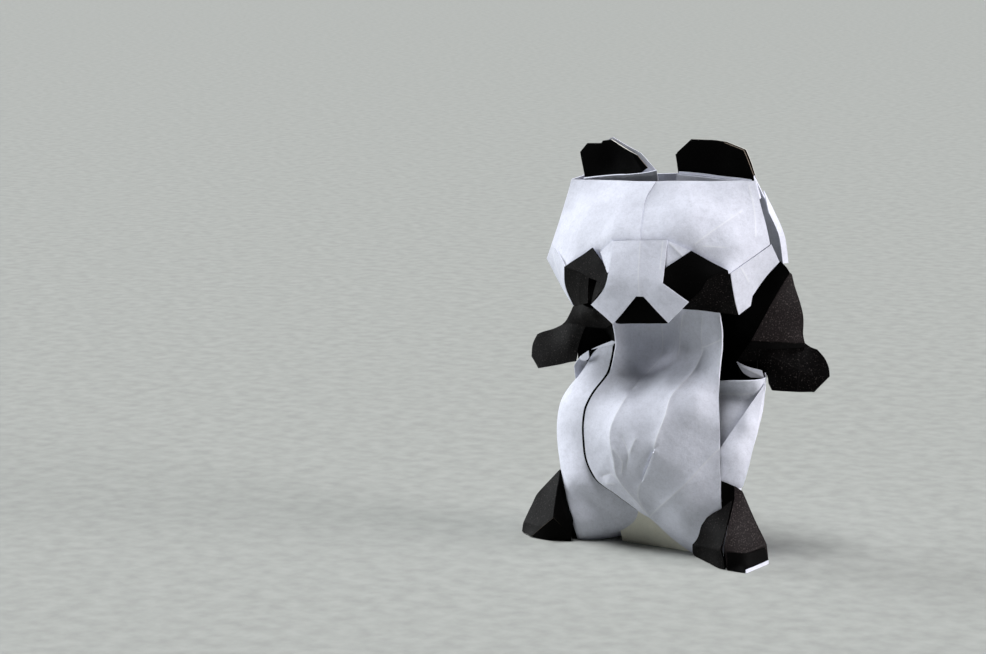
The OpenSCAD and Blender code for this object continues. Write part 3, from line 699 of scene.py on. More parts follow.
def ears():
    # The ears and the outer face of the right ear's lining take the black paper painted darker, as painted shade.
    flap(
        "ear_left",
        [
            [(-19.3, 4.6, 69.3), (-19.7, 4.4, 72.0), (-20.1, 4.2, 74.6)], [(-18.5, 4.0, 76.4)],
            [(-15.5, 3.8, 76.6)], [(-15.1, 3.8, 77.1)],
            [(-13.3, 3.8, 77.4)], [(-10.3, 3.8, 75.9), (-7.7, 3.8, 74.7)],
            [(-5.4, 3.6, 72.3)], [(-7.6, 3.6, 70.6)], [(-19.3, 4.6, 69.3)],
        ],
        ALL_BLACK_PAINTED_SHADE, held=[(-13.0, 4.5, 73.5)], edges={5: CORE, 6: BROWNISH_EDGE},
        folds=[([(-8.6, 3.8, 74.6), (-6.2, 3.8, 71.4)], 0.2, 0.6, False)],
    )
    flap(
        "ear_left_lining",
        [
            [(-13.3, 4.5, 77.75), (-10.1, 4.5, 76.3), (-7.3, 4.5, 75.1)], [(-4.0, 4.2, 71.9)],
            [(-7.6, 4.1, 70.2)], [(-16.0, 4.8, 70.2)], [(-14.6, 4.6, 76.6), (-13.3, 4.5, 77.75)],
        ],
        ALL_WHITE, thick=LAYER,
    )
    flap(
        "ear_right",
        [
            [(1.4, 3.4, 71.2), (1.1, 3.3, 73.4), (0.8, 3.2, 75.2)], [(4.0, 3.2, 77.9)],
            [(6.3, 3.3, 78.35), (8.3, 3.5, 78.3), (10.7, 3.6, 78.1)],
            [(14.6, 4.0, 76.7)], [(15.7, 4.4, 74.3), (16.9, 4.8, 71.5)],
            [(16.3, 4.8, 70.6)], [(1.4, 3.4, 71.2)],
        ],
        ALL_BLACK_PAINTED_SHADE, held=[(9.0, 4.2, 74.5)], edges={3: BROWNISH_EDGE, 4: BROWNISH_EDGE},
    )
    flap(
        "ear_right_lining",
        [
            [(1.3, 3.9, 73.0), (0.75, 3.9, 75.55)], [(3.9, 3.9, 78.35)],
            [(8.4, 4.1, 78.45), (10.9, 4.2, 78.2)], [(14.8, 4.6, 76.75)],
            [(15.9, 5.0, 74.3), (17.0, 5.3, 71.4)], [(1.3, 3.9, 73.0)],
        ],
        (BLACK_PAINTED_SHADE, WHITE, CORE), thick=LAYER,
    )


def crown_layers():
    """The folded layers between the ears and the forehead's top edge."""
    flap(
        "ear_cuff_left",
        [
            [(-18.2, 1.8, 69.9), (-11.9, 1.6, 70.9), (-5.9, 1.5, 71.5), (-2.4, 1.4, 72.2)],
            [(-2.6, 2.8, 69.4)], [(-19.0, 3.8, 68.0)], [(-18.2, 1.8, 69.9)],
        ],
        ALL_WHITE, folds=[([(-9.0, 1.6, 70.9), (-3.2, 1.6, 71.2)], 0.2, 0.8, False)],
    )
    for k, (rise, back) in enumerate(((0.0, 0.0), (0.28, 0.45), (0.5, 0.9))):
        flap(
            f"ear_cuff_right_{k + 1}",
            [
                [(2.0, 1.5 + back, 71.5 + rise), (8.3, 1.6 + back, 71.45 + rise),
                    (16.9, 2.3 + back, 71.2 + rise * 0.4)],
                [(16.6, 2.4 + back, 69.2)], [(1.6, 1.6 + back, 69.2)],
                [(2.0, 1.5 + back, 71.5 + rise)],
            ],
            ALL_WHITE, thick=LAYER,
        )


# Body

def belly():
    left_edge = [
        (-8.1, -5.0, 42.9), (-7.7, -4.9, 40.8), (-7.6, -4.8, 38.8), (-7.9, -4.7, 37.2), (-8.5, -4.9, 34.3),
        (-9.1, -5.4, 32.7), (-10.8, -6.6, 30.1), (-11.8, -7.4, 28.0), (-12.3, -8.1, 25.8), (-12.2, -8.6, 22.2),
        (-11.4, -9.0, 17.1), (-9.3, -9.4, 13.6), (-7.1, -9.5, 12.0), (-5.2, -9.2, 10.9), (-2.7, -8.5, 9.1),
        (-0.6, -7.5, 7.5), (1.0, -6.2, 6.3),
    ]
    flap(
        "belly_panel",
        [
            [(-7.5, -4.4, 46.0), (-1.5, 1.6, 47.0), (6.0, -0.4, 48.4), (14.0, -3.8, 48.6)],
            [
                (14.0, -4.2, 48.6), (14.0, -4.2, 46.8), (14.7, -4.5, 42.7), (14.8, -5.5, 35.3), (15.9, -8.0, 27.2),
                (16.2, -8.1, 21.9), (16.5, -8.0, 14.2), (16.6, -8.0, 11.5), (16.9, -7.8, 6.0), (17.3, -7.4, 0.0),
            ],
            [(17.3, -7.4, 0.0), (15.0, -6.9, 0.0), (12.0, -6.0, 0.0), (9.4, -4.7, 0.0)],
            [(5.1, -5.3, 2.6), (1.0, -6.2, 6.3)],
            left_edge[::-1],
            [(-8.1, -5.0, 42.9), (-7.5, -4.4, 46.0)],
        ],
        WHITE_OVER_BLACK, grain=0.42,
        held=[
            (-4.8, 0.0, 43.6), (-0.4, 2.0, 43.7), (6.0, -0.4, 44.6), (11.6, -2.6, 45.4), (-6.4, -2.0, 40.5),
            (-4.3, 1.6, 40.1), (-1.8, 3.0, 40.1), (4.5, 0.6, 41.0), (9.8, -1.6, 41.9), (-6.2, -2.2, 37.2),
            (-3.9, 1.0, 36.9), (-1.8, 2.4, 36.8), (4.8, 0.2, 37.8), (10.6, -2.0, 38.7), (-6.8, -3.6, 34.6),
            (-3.0, 0.0, 34.4), (2.3, -1.2, 35.1), (10.5, -3.4, 36.2), (-7.2, -5.2, 32.1), (-3.2, -4.6, 32.4),
            (3.8, -5.6, 33.3), (10.8, -5.8, 34.0), (-7.7, -6.8, 29.4), (-2.0, -7.8, 30.1), (4.6, -8.4, 31.0),
            (11.6, -8.4, 31.7), (-7.6, -9.0, 26.5), (-0.8, -10.2, 27.4), (6.1, -10.3, 28.2), (12.4, -9.3, 28.7),
            (1.0, -11.3, 24.3), (3.6, -11.7, 20.0), (11.0, -9.9, 25.2), (11.2, -10.0, 19.0), (10.6, -9.9, 14.0),
            (-5.0, -11.0, 21.5), (-4.2, -10.8, 16.6), (2.4, -9.9, 12.5), (8.0, -8.2, 6.0), (13.0, -8.6, 8.5),
        ],
        folds=[
            ([(-1.4, 1.8, 44.8), (-1.7, 2.9, 41.1), (-1.6, 2.4, 36.1), (-2.2, 0.2, 34.0),
                (-3.1, -5.0, 30.9)], -0.5, 1.8, False),
            ([(-3.4, -8.0, 29.8), (-4.8, -11.2, 25.7), (-5.2, -11.4, 22.6), (-4.4, -11.4, 18.3), (-4.0, -11.0, 14.4),
                (-0.5, -9.0, 9.7), (1.0, -7.0, 7.0)], 0.6, 1.7, False),
            ([(9.5, -1.8, 38.6), (8.9, -4.2, 34.9), (7.8, -6.4, 32.6), (6.6, -8.2, 30.6), (6.1, -10.7, 27.2),
                (4.8, -11.8, 22.9), (4.4, -12.0, 20.6)], 0.6, 1.2, False),
            ([(1.9, -11.5, 15.1), (4.3, -12.1, 20.3)], -0.9, 0.9, True),
            ([(1.9, -11.5, 15.0), (0.7, -10.9, 13.2), (0.0, -10.0, 10.6), (1.0, -7.4, 7.4)], 0.3, 1.0, False),
            ([(1.5, -6.6, 6.8), (10.0, -9.8, 14.4), (16.2, -8.2, 21.9)], 0.25, 0.8, False),
            ([(9.2, -3.2, 39.6), (14.4, -4.6, 41.7)], 0.2, 0.6, False),
            ([(4.6, -0.6, 45.0), (3.6, -0.4, 41.0), (3.4, -0.8, 37.5)], 0.45, 1.0, False),
            ([(9.3, -2.0, 45.6), (8.8, -2.4, 41.5), (9.3, -2.6, 39.0)], -0.3, 1.0, False),
            ([(-2.6, -11.6, 22.5), (-1.2, -11.8, 19.6), (-2.0, -11.4, 16.5)], -0.26, 0.8, False),
            ([(-4.2, -11.4, 20.0), (-2.6, -11.6, 17.8), (-3.0, -11.3, 15.5)], 0.16, 0.6, False),
            ([(0.4, -12.0, 22.5), (-0.9, -11.8, 19.5)], 0.2, 0.7, False),
            ([(-7.5, -10.0, 14.2), (-5.6, -10.6, 14.9), (-4.0, -11.0, 14.0)], -0.26, 0.8, False),
            ([(-6.6, -9.8, 12.8), (-4.8, -10.2, 13.0)], 0.2, 0.6, False),
        ],
    )
    # A thin layer of the black paper painted darker as shade, whose edge shows as a thin dark line along the free
    # edge
    under = [(x - 0.75, y + 0.5, z - 0.1) for x, y, z in left_edge[2:]]
    middle = [(-4.5, 2.6, 37.0), (-3.5, -1.0, 33.0), (-3.0, -9.0, 26.0), (-2.0, -9.4, 18.0), (2.0, -7.6, 11.0)]
    flap(
        "belly_underlay",
        [under, [under[-1], middle[-1]], middle[::-1], [middle[0], under[0]]],
        ALL_BLACK_PAINTED_SHADE, thick=LAYER,
    )


LEFT_BACK_EDGE = [
    (-19.1, 6.0, 34.0), (-20.1, 7.0, 26.0), (-20.1, 7.0, 19.0), (-18.1, 6.6, 11.7), (-17.1, 6.2, 5.7),
    (-17.1, 6.0, 0.0),
]
RIGHT_BACK_EDGE = [
    (19.0, 6.0, 34.0), (17.8, 7.0, 26.0), (15.4, 7.0, 19.0), (13.8, 6.6, 11.7), (13.5, 6.2, 5.7),
    (13.5, 6.0, 0.0),
]


def hips():
    b = LEFT_BACK_EDGE
    rows = [
        [(-7.9, -0.6, 39.0), (-14.4, 0.6, 36.5), (-17.6, 0.8, 31.7), b[0]],
        [(-8.2, -2.4, 33.2), (-15.4, -2.0, 31.2), (-19.9, -0.6, 28.4), (-19.8, 6.5, 29.5)],
        [(-8.8, -7.0, 26.5), (-17.4, -4.6, 25.9), (-21.5, -0.6, 25.2), b[1]],
        [(-8.0, -7.8, 19.0), (-16.6, -6.1, 18.8), (-21.4, -2.2, 19.6), b[2]],
        [(-5.0, -6.2, 12.0), (-13.4, -8.4, 11.6), (-18.3, -5.7, 11.7), b[3]],
        [(-0.2, -3.3, 5.7), (-7.2, -5.6, 4.6), (-15.2, -7.8, 4.6), b[4]],
        [(-6.9, -0.8, 0.6), (-9.8, -3.8, 0.1), (-15.0, -6.0, 0.0), b[5]],
    ]
    wrapped(
        "left_hip", [row[::-1] for row in rows], WHITE_OVER_BLACK,
        folds=[([(-15.6, -8.6, 12.0), (-11.0, -8.6, 6.0)], 0.1, 1.2, False),
            ([(-5.0, -8.0, 8.0), (-7.0, -7.6, 5.0)], 0.1, 0.8, False)],
    )
    b = RIGHT_BACK_EDGE
    rows = [
        [(13.6, -3.4, 33.6), (19.4, -3.2, 34.3), (21.6, -0.4, 34.5), b[0]],
        [(12.6, -1.8, 30.9), (18.6, -1.6, 31.4), (21.2, -0.2, 32.4), (18.6, 6.2, 31.0)],
        [(13.8, -4.6, 26.0), (18.2, -3.6, 26.5), (20.6, 0.0, 27.0), b[1]],
        [(13.8, -5.9, 19.0), (17.9, -5.0, 19.0), (19.9, -2.9, 19.0), b[2]],
        [(14.3, -6.3, 12.0), (17.2, -6.4, 12.0), (19.0, -5.0, 14.0), b[3]],
        [(15.3, -6.9, 5.7), (17.8, -6.9, 5.7), (19.4, -5.4, 5.7), b[4]],
        [(16.4, -7.2, 0.0), (18.8, -6.6, 0.0), (20.2, -5.0, 0.0), b[5]],
    ]
    wrapped(
        "right_hip", rows, WHITE_OVER_BLACK,
        folds=[([(13.0, -1.8, 30.9), (18.8, -1.6, 31.4), (21.2, -0.2, 32.4)], 0.1, 0.7, False)],
    )
    # The layer folded over the right hip, with a slanting edge
    flap(
        "right_hip_flap",
        [
            [(21.75, -0.5, 33.5), (15.4, -7.4, 20.9)], [(15.6, -7.6, 14.0)],
            [(19.7, -6.0, 14.2)], [(20.15, -5.7, 15.1), (20.95, -3.8, 21.1), (21.4, -1.0, 30.2), (21.75, -0.5, 33.5)],
        ],
        ALL_WHITE, held=[(18.6, -6.2, 21.0), (20.0, -4.1, 26.0)],
    )


def back_panel():
    def bowed(a, b, rise=2.0):
        a, b = np.array(a), np.array(b)
        return [tuple(b + (a - b) * t + np.array([0, 4 * rise * t * (1 - t), 0])) for t in (0, 0.25, 0.5, 0.75, 1)]
    rows = [bowed((-18.1, 4.4, 45.0), (18.0, 4.4, 45.0))]
    rows += [bowed(l, r) for l, r in zip(LEFT_BACK_EDGE, RIGHT_BACK_EDGE)]
    wrapped("back_panel", rows, WHITE_OVER_BLACK)


def tail_flap():
    # The outer face takes white paper painted cream and brighter, as painted light shining through the flap.
    flap(
        "tail_flap",
        [
            [(-6.2, -3.4, 0.05), (8.6, -4.3, 0.05)], [(8.2, -4.6, 4.0), (7.2, -5.2, 8.4)],
            [(-2.2, -4.9, 8.4)], [(-6.4, -3.8, 4.4), (-6.2, -3.4, 0.05)],
        ],
        (WHITE_PAINTED_WARM_GLOW, WHITE, WHITE_PAINTED_WARM_GLOW),
    )


# Shoulder band and arms

def shoulder_band():
    shares = (0.7, 0.35, 0.0, -0.3, -0.6)
    neck_y = 8.7
    neck = [(22.95 * s, neck_y - (neck_y - 6.1) * s * s, 56.0) for s in shares]
    rows = [
        neck,
        [(20.8, 3.4, 54.5), (10.0, 3.6, 51.0), (0.0, 5.0, 51.0), (-8.0, 4.6, 51.0), (-18.2, 4.2, 50.0)],
        [(20.6, 2.6, 47.0), (12.0, 2.4, 45.0), (0.0, 5.2, 44.0), (-9.0, 4.2, 43.5), (-19.4, 3.2, 44.8)],
        [(19.2, 1.6, 41.2), (12.5, 2.4, 39.0), (0.0, 5.2, 39.0), (-9.0, 4.4, 39.0), (-18.0, 3.4, 39.0)],
        [(19.2, 2.2, 33.0), (13.4, 2.4, 33.0), (0.0, 5.0, 33.0), (-9.0, 4.4, 33.0), (-16.5, 3.4, 33.0)],
    ]
    # The band takes the black paper painted darker, as painted shade.
    wrapped("shoulder_band", rows, ALL_BLACK_PAINTED_SHADE)
    outer_right = [(23.9, 5.0, 53.6), (25.3, 6.0, 49.5), (27.0, 5.8, 40.7)]
    outer_left = [(-18.2, 3.6, 50.0), (-19.8, 1.2, 44.8), (-20.6, 2.4, 39.0)]
    back_y, fall, slope = 9.0, (5.5, 1.0, -2.0), (-1.4, -0.4, 0.3)
    rows = [
        [
            outer_left[k], (-17.4, back_y + slope[k] - 2.6, 41.4 + fall[k]),
            (-11.0, back_y + slope[k] - 0.8, 41.0 + fall[k]),
            (0.0, back_y + slope[k], 41.0 + fall[k]), (13.0, back_y + slope[k] - 0.4, 42.0 + fall[k]), outer_right[k],
        ]
        for k in range(3)
    ]
    wrapped("back_band", [row[::-1] for row in rows], ALL_BLACK)


def right_arm():
    ridge = [(24.7, 3.6, 54.2), (22.9, 1.8, 50.4), (21.4, 0.8, 47.2), (18.8, -0.4, 41.4)]
    elbow = [(18.8, -0.4, 41.4), (23.1, 2.4, 41.15), (27.3, 5.5, 40.7)]
    # The outer face of the upper arm takes the black paper painted lighter, as painted light.
    flap(
        "right_upper_arm",
        [ridge, elbow, [elbow[-1], (26.7, 6.0, 42.2), (26.4, 6.2, 46.3), (24.9, 5.4, 51.6), (24.6, 4.6, 53.8)],
         [ridge[0]]],
        ALL_BLACK_PAINTED_LIT, facing=(0.7, -0.7, 0), folds=[([(24.4, 5.0, 53.0), (20.5, 0.9, 42.5)], 0.08, 1.0, False)],
    )
    # The inside of the arm takes the black paper painted darker, as painted shade.
    flap(
        "right_arm_inside",
        [
            ridge[::-1], [ridge[0], (24.1, 3.4, 55.2)], [(22.9, 3.4, 56.3)],
            [(20.5, 3.0, 53.6), (14.5, 2.8, 50.5), (10.0, 2.0, 47.5)],
            [(11.0, 0.2, 33.0)], [(16.3, 0.8, 33.6)],
            [(16.0, 0.2, 37.2), ridge[-1]],
        ],
        ALL_BLACK_PAINTED_SHADE, held=[(15.5, 1.2, 44.0)], facing=(-0.3, -1, 0),
    )
    hand_line = [(26.2, 4.6, 40.0), (27.3, 3.2, 36.0), (27.5, 1.7, 32.1)]
    flap(
        "right_hand",
        [
            elbow[::-1], [elbow[0], (15.8, 0.0, 37.3)], [(17.6, 0.6, 37.0), (19.5, 1.1, 37.4)],
            [(20.6, 1.4, 35.8)], [(21.5, 1.3, 34.6), (21.8, 1.2, 33.2)],
            [(22.6, 1.0, 32.0)], [(27.5, 1.6, 32.0), (30.7, 2.2, 32.1)],
            [(33.2, 3.6, 35.1)], [(32.7, 4.2, 36.7), (31.7, 4.6, 38.4), (30.1, 5.0, 39.8)],
            [(28.6, 5.3, 40.1), elbow[-1]],
        ],
        ALL_BLACK, held=[(21.5, 0.8, 38.2), (25.0, 2.8, 38.6), (28.5, 3.0, 36.3), (24.0, 0.9, 35.2)],
        folds=[(hand_line, 0.12, 1.2, False), ([(22.0, 0.6, 38.8), (30.0, 3.2, 35.0)], 0.06, 1.0, False)],
    )
    # The fold under the elbow takes the black paper painted darker, as painted shade.
    under = [(x, y - 0.5, z - 0.2) for x, y, z in elbow]
    flap(
        "right_elbow_fold",
        [under, [under[-1], (27.5, 4.5, 40.0)], [(23.0, 1.1, 39.9), (18.6, -1.2, 40.0)], [under[0]]],
        ALL_BLACK_PAINTED_SHADE, thick=LAYER,
    )
    flap(
        "right_arm_white_bit",
        [
            [(16.0, -0.8, 37.1), (18.2, -0.6, 36.4), (20.9, 0.2, 35.8)], [(21.2, 0.4, 34.4)],
            [(18.9, -0.4, 34.4)], [(17.4, -0.8, 35.2), (16.0, -0.8, 37.1)],
        ],
        ALL_WHITE, facing=(0.2, -1, -0.2), folds=[([(17.0, -0.7, 36.4), (20.6, 0.2, 34.9)], 0.14, 0.5, False)],
    )


def left_arm():
    elbow = [(-23.3, 2.6, 40.3), (-20.2, 1.2, 41.0), (-16.8, 0.2, 40.9), (-11.6, -1.6, 41.4)]
    flap(
        "left_upper_arm",
        [
            [(-19.9, 1.0, 44.5), (-14.0, -3.2, 46.4)], [(-8.2, -5.0, 42.9)], [elbow[-1]],
            elbow[::-1], [elbow[0], (-22.4, 2.3, 41.0), (-21.6, 1.8, 41.9), (-20.6, 1.3, 43.3), (-19.9, 1.0, 44.5)],
        ],
        ALL_BLACK, facing=(-0.3, -1, 0.2), held=[(-13.0, -3.6, 44.2), (-16.6, -1.6, 43.2)],
    )
    flap(
        "left_hand",
        [
            elbow[:3], [elbow[2], (-17.6, 0.4, 39.5)], [(-18.4, 0.3, 36.8), (-18.8, 0.2, 34.7), (-19.0, 0.2, 33.8)],
            [(-24.0, 1.8, 32.3), (-28.9, 3.2, 31.0)], [(-30.9, 4.2, 33.0)],
            [(-30.8, 4.6, 35.3), (-29.6, 4.4, 37.6)], [(-28.2, 4.0, 38.3), (-25.7, 3.4, 39.2), elbow[0]],
        ],
        ALL_BLACK, held=[(-24.6, 2.2, 36.0), (-20.5, 0.6, 37.0)], facing=(-0.3, -1, 0.1),
    )
    # The inside of the arm takes the black paper painted darker, as painted shade.
    flap(
        "left_arm_inside",
        [
            [(-19.4, 1.4, 41.6), (-8.4, -2.8, 43.2)], [(-8.4, -1.6, 36.0)], [(-14.6, 0.4, 32.6)],
            [(-19.4, 2.2, 32.6)], [(-19.4, 1.4, 41.6)],
        ],
        ALL_BLACK_PAINTED_SHADE, held=[(-14.0, 3.6, 39.0), (-13.0, 2.4, 36.0)],
    )
    flap(
        "left_arm_white_bit",
        [
            [(-17.6, -0.4, 34.4), (-17.4, -0.4, 35.2), (-15.4, -1.0, 36.5)], [(-15.2, -1.1, 35.2)],
            [(-16.1, -0.9, 34.4), (-17.6, -0.4, 34.4)],
        ],
        ALL_WHITE, thick=LAYER,
    )
    # The hip's top edge turns over beside the belly
    flap(
        "left_hip_top_fold",
        [
            [(-13.9, -2.6, 37.1), (-11.4, -3.0, 38.4), (-8.8, -3.8, 39.5)], [(-7.6, -4.2, 39.4)],
            [(-8.7, -4.0, 38.8), (-11.4, -3.2, 37.9), (-13.9, -2.6, 37.1)],
        ],
        ALL_WHITE, thick=LAYER, grain=0.3,
    )
    # Side of the hip, folded in behind the hand
    flap(
        "left_hip_fold",
        [
            [(-18.9, -0.6, 33.1), (-18.5, -0.4, 34.0), (-17.5, -0.3, 35.2)], [(-16.6, 1.2, 33.7), (-15.2, 1.6, 33.4)],
            [(-16.6, 1.4, 31.6)], [(-18.4, -0.6, 29.6)], [(-18.9, -0.6, 33.1)],
        ],
        ALL_WHITE, facing=(0.5, -0.9, 0), thick=LAYER,
    )


# Feet: each is a pressed pack whose outer layers meet along folds

def right_foot():
    apex = (18.8, -6.9, 14.6)
    slit_r = [(19.55, -8.4, 12.4), (20.1, -12.2, 7.5), (19.85, -13.3, 4.3), (20.6, -13.4, 0.1)]
    slit_l = [(19.15, -8.2, 12.2), (19.75, -12.0, 7.4), (19.4, -13.1, 4.2), (20.1, -13.2, 0.1)]
    flap(
        "right_foot_inner",
        [
            [slit_l[0], slit_l[1], slit_l[2]], [slit_l[3]], [(18.4, -12.6, 0.0), (11.1, -6.9, 0.0)],
            [(9.7, -5.1, 0.4)], [(10.0, -5.6, 1.8)], [(12.2, -7.8, 6.8)],
            [(15.2, -8.8, 9.1), (17.0, -8.8, 10.3)], [slit_l[0]],
        ],
        ALL_BLACK, held=[(15.0, -9.9, 5.2), (13.4, -8.6, 3.0)], edges={2: CORE},
        folds=[([(9.9, -5.6, 2.0), (14.5, -9.9, 3.0), (19.4, -13.2, 3.6)], 0.3, 1.0, False)],
    )
    # The outer face takes the black paper painted lighter, as painted light.
    flap(
        "right_foot_outer",
        [
            slit_r[:3], [slit_r[2], slit_r[3]], [(24.1, -13.6, 0.0)], [(25.1, -5.0, 0.2)],
            [(24.7, -5.5, 3.7)], [(22.6, -6.2, 8.4), (20.1, -6.8, 13.9)], [apex],
            [slit_r[0]],
        ],
        ALL_BLACK_PAINTED_LIT, facing=(0.7, -0.7, 0.2), held=[(22.6, -9.6, 4.6)], edges={3: CORE, 5: CORE},
        folds=[([(24.6, -5.8, 3.8), (23.6, -10.6, 3.4), (20.4, -13.2, 3.8)], 0.35, 0.9, False)],
    )
    # A layer of the black paper painted darker over the lower part of the toe, as painted shade.
    flap(
        "right_foot_toe_fold",
        [
            [(20.5, -13.5, 3.5), (23.7, -11.0, 3.2), (24.9, -6.2, 3.3)], [(25.2, -5.2, 0.3)],
            [(24.3, -13.6, 0.1)], [(20.8, -13.5, 0.2)], [(20.5, -13.5, 3.5)],
        ],
        ALL_BLACK_PAINTED_SHADE, facing=(0.7, -0.7, 0), thick=LAYER, edges={2: CORE},
    )
    flap(
        "right_foot_white_edge",
        [
            [(24.35, -13.7, 0.05), (25.3, -5.3, 0.1)], [(25.3, -5.4, 0.8)],
            [(24.35, -13.7, 0.7)], [(24.35, -13.7, 0.05)],
        ],
        ALL_WHITE, facing=(1, -0.2, 0), thick=LAYER, grain=0.3,
    )
    # The throat and the slit's lining take the black paper painted darker, as painted shade.
    flap(
        "right_foot_throat",
        [
            [(16.5, -7.7, 15.5), apex], [(19.4, -7.4, 11.8)], [(16.8, -7.9, 10.0)],
            [(16.5, -7.7, 15.5)],
        ],
        ALL_BLACK_PAINTED_SHADE,
    )
    flap(
        "right_foot_back",
        [
            [(20.1, -6.5, 13.9), (22.6, -5.9, 8.4), (24.7, -5.1, 3.7)], [(25.0, -4.6, 0.2)], [(9.6, -4.4, 0.2)],
            [(12.4, -7.2, 6.6), (17.0, -7.4, 12.0)], [(20.1, -6.5, 13.9)],
        ],
        ALL_BLACK, facing=(0, 1, 0),
    )
    flap(
        "right_foot_slit_lining",
        [[(18.6, -7.2, 12.4), (20.0, -7.0, 12.2)], [(21.0, -12.0, 0.2)], [(19.0, -11.9, 0.2)],
         [(18.6, -7.2, 12.4)]],
        ALL_BLACK_PAINTED_SHADE, held=[(19.8, -11.0, 6.0)],
    )


def left_foot():
    apex = (-18.6, -6.5, 13.5)
    ridge = [apex, (-18.0, -8.2, 11.2), (-17.4, -11.2, 4.8)]
    toe_l, toe_r = (-23.0, -10.0, 0.1), (-14.7, -9.0, 1.2)
    flap(
        "left_foot_outer",
        [
            [apex, (-22.0, -6.5, 9.7), (-23.6, -6.8, 7.7)], [(-25.1, -7.0, 4.6), (-26.3, -7.3, 1.5)],
            [(-26.5, -7.4, 0.1)], [toe_l], [ridge[2]], ridge[::-1],
        ],
        ALL_BLACK, facing=(-0.5, -0.8, 0.3), held=[(-22.2, -8.6, 4.6)], edges={4: BROWNISH_EDGE, 3: CORE},
        folds=[([(-26.0, -7.5, 2.2), (-21.0, -10.0, 2.4)], 0.16, 0.9, False)],
    )
    # The inner face and the sole fold take the black paper painted darker, as painted shade.
    flap(
        "left_foot_inner",
        [
            ridge, [ridge[2], toe_r], [(-14.5, -8.6, 4.3)], [(-16.3, -7.9, 7.9), (-17.7, -7.0, 12.1), apex],
        ],
        ALL_BLACK_PAINTED_SHADE, facing=(0.6, -0.7, 0.2), folds=[([(-17.4, -8.6, 9.8), (-15.6, -9.3, 4.4)], 0.14, 0.8, False)],
        edges={1: BROWNISH_EDGE},
    )
    flap(
        "left_foot_sole_fold",
        [[ridge[2], toe_l], [(-20.0, -10.4, 0.0), (-17.7, -9.9, 0.0), (-15.0, -8.4, 0.0)], [toe_r], [ridge[2]]],
        ALL_BLACK_PAINTED_SHADE, facing=(0, -0.8, -0.6), edges={1: BROWNISH_EDGE},
    )
    flap(
        "left_foot_back",
        [
            [(-18.6, -6.2, 13.4), (-23.6, -6.2, 7.7), (-26.2, -6.6, 1.5)], [(-26.2, -6.4, 0.1)], [(-14.8, -6.4, 0.1)],
            [(-14.8, -7.6, 4.3), (-17.4, -6.4, 12.1)], [(-18.6, -6.2, 13.4)],
        ],
        ALL_BLACK, facing=(0, 1, 0),
    )


forehead()
cheeks()
bridges()
eye_patches()
muzzle()
jaw_lining()
back_of_head()
ears()
crown_layers()
belly()
hips()
back_panel()
tail_flap()
shoulder_band()
right_arm()
left_arm()
right_foot()
left_foot()


# The table it stands on, the light and the camera

TABLE_DARK = (0.335, 0.345, 0.328)
TABLE_PALE = (0.395, 0.407, 0.387)
# Clouds to the metre
TABLE_CLOUDS = 260
# The photo's width and the camera's focal length in pixels, its place in millimetres, and its two turns
PHOTO_WIDTH = 986
FOCAL_PIXELS = 2640
SENSOR_MM = 36
EYE = np.array([219.2, -449.4, 130.0])
LOOKS_DOWN, LOOKS_LEFT = 9.970, 29.728


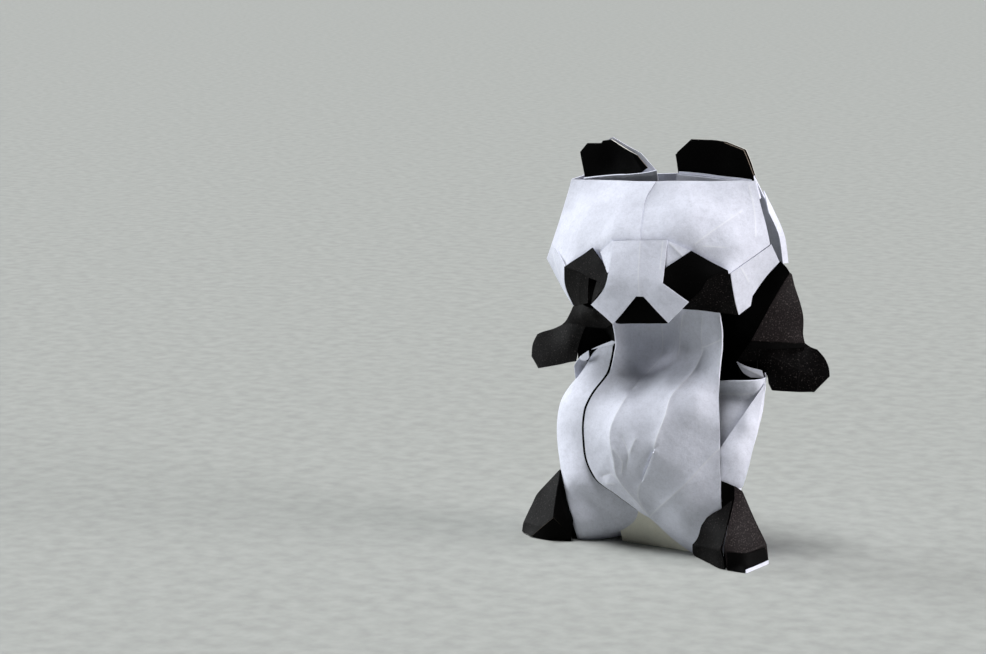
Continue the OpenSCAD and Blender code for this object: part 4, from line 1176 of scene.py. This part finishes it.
def table():
    m = bpy.data.materials.new("pale grey table")
    m.use_nodes = True
    nodes, links = m.node_tree.nodes, m.node_tree.links
    bsdf = nodes["Principled BSDF"]
    bsdf.inputs["Roughness"].default_value = 0.9
    bsdf.inputs["Specular IOR Level"].default_value = 0.1
    place = nodes.new("ShaderNodeTexCoord")
    cloud = nodes.new("ShaderNodeTexNoise")
    cloud.inputs["Scale"].default_value = TABLE_CLOUDS
    cloud.inputs["Detail"].default_value = 5
    links.new(place.outputs["Object"], cloud.inputs["Vector"])
    mix = nodes.new("ShaderNodeMix")
    mix.data_type = "RGBA"
    mix.inputs[6].default_value = (*TABLE_DARK, 1)
    mix.inputs[7].default_value = (*TABLE_PALE, 1)
    spread = nodes.new("ShaderNodeMapRange")
    spread.inputs["From Min"].default_value = 0.32
    spread.inputs["From Max"].default_value = 0.68
    links.new(cloud.outputs["Fac"], spread.inputs["Value"])
    links.new(spread.outputs[0], mix.inputs["Factor"])
    links.new(mix.outputs[2], bsdf.inputs["Base Color"])
    half = 6.0
    mesh = bpy.data.meshes.new("table")
    mesh.from_pydata([(-half, -half, 0), (half, -half, 0), (half, half, 0), (-half, half, 0)], [], [(0, 1, 2, 3)])
    mesh.materials.append(m)
    floor = bpy.data.objects.new("table", mesh)
    bpy.context.scene.collection.objects.link(floor)


def lamp(name, azimuth, height, strength, colour, spread):
    """A soft lamp far off. azimuth is from the front, positive to the viewer's right."""
    light = bpy.data.lights.new(name, "SUN")
    light.energy = strength
    light.color = colour
    light.angle = math.radians(spread)
    a, e = math.radians(azimuth), math.radians(height)
    towards = Vector((math.sin(a) * math.cos(e), -math.cos(a) * math.cos(e), math.sin(e)))
    lamp_object = bpy.data.objects.new(name, light)
    lamp_object.rotation_euler = towards.to_track_quat("Z", "Y").to_euler()
    lamp_object.location = towards * 2
    bpy.context.scene.collection.objects.link(lamp_object)


def light_and_camera():
    lamp("left wall of the tent", -86, 10, 3.3, (0.95, 0.98, 1.0), 36)
    lamp("right wall of the tent", 100, 10, 3.8, (1.0, 0.97, 0.98), 34)
    lamp("overhead softbox", -28, 80, 3.0, (0.97, 0.98, 1.0), 24)
    world = bpy.data.worlds.new("room")
    world.use_nodes = True
    background = world.node_tree.nodes["Background"]
    background.inputs["Color"].default_value = (0.97, 0.98, 1.0, 1)
    background.inputs["Strength"].default_value = 0.01
    bpy.context.scene.world = world
    bpy.context.scene.view_settings.view_transform = "Standard"

    camera = bpy.data.cameras.new("camera")
    camera.sensor_width = SENSOR_MM
    camera.lens = FOCAL_PIXELS * SENSOR_MM / PHOTO_WIDTH
    camera.clip_start = 0.02
    camera.clip_end = 20
    holder = bpy.data.objects.new("camera", camera)
    holder.location = ((EYE + FROM_MODEL_MIDDLE) * MM).tolist()
    holder.rotation_euler = (math.radians(90 - LOOKS_DOWN), 0, math.radians(LOOKS_LEFT))
    bpy.context.scene.collection.objects.link(holder)
    bpy.context.scene.camera = holder


table()
light_and_camera()
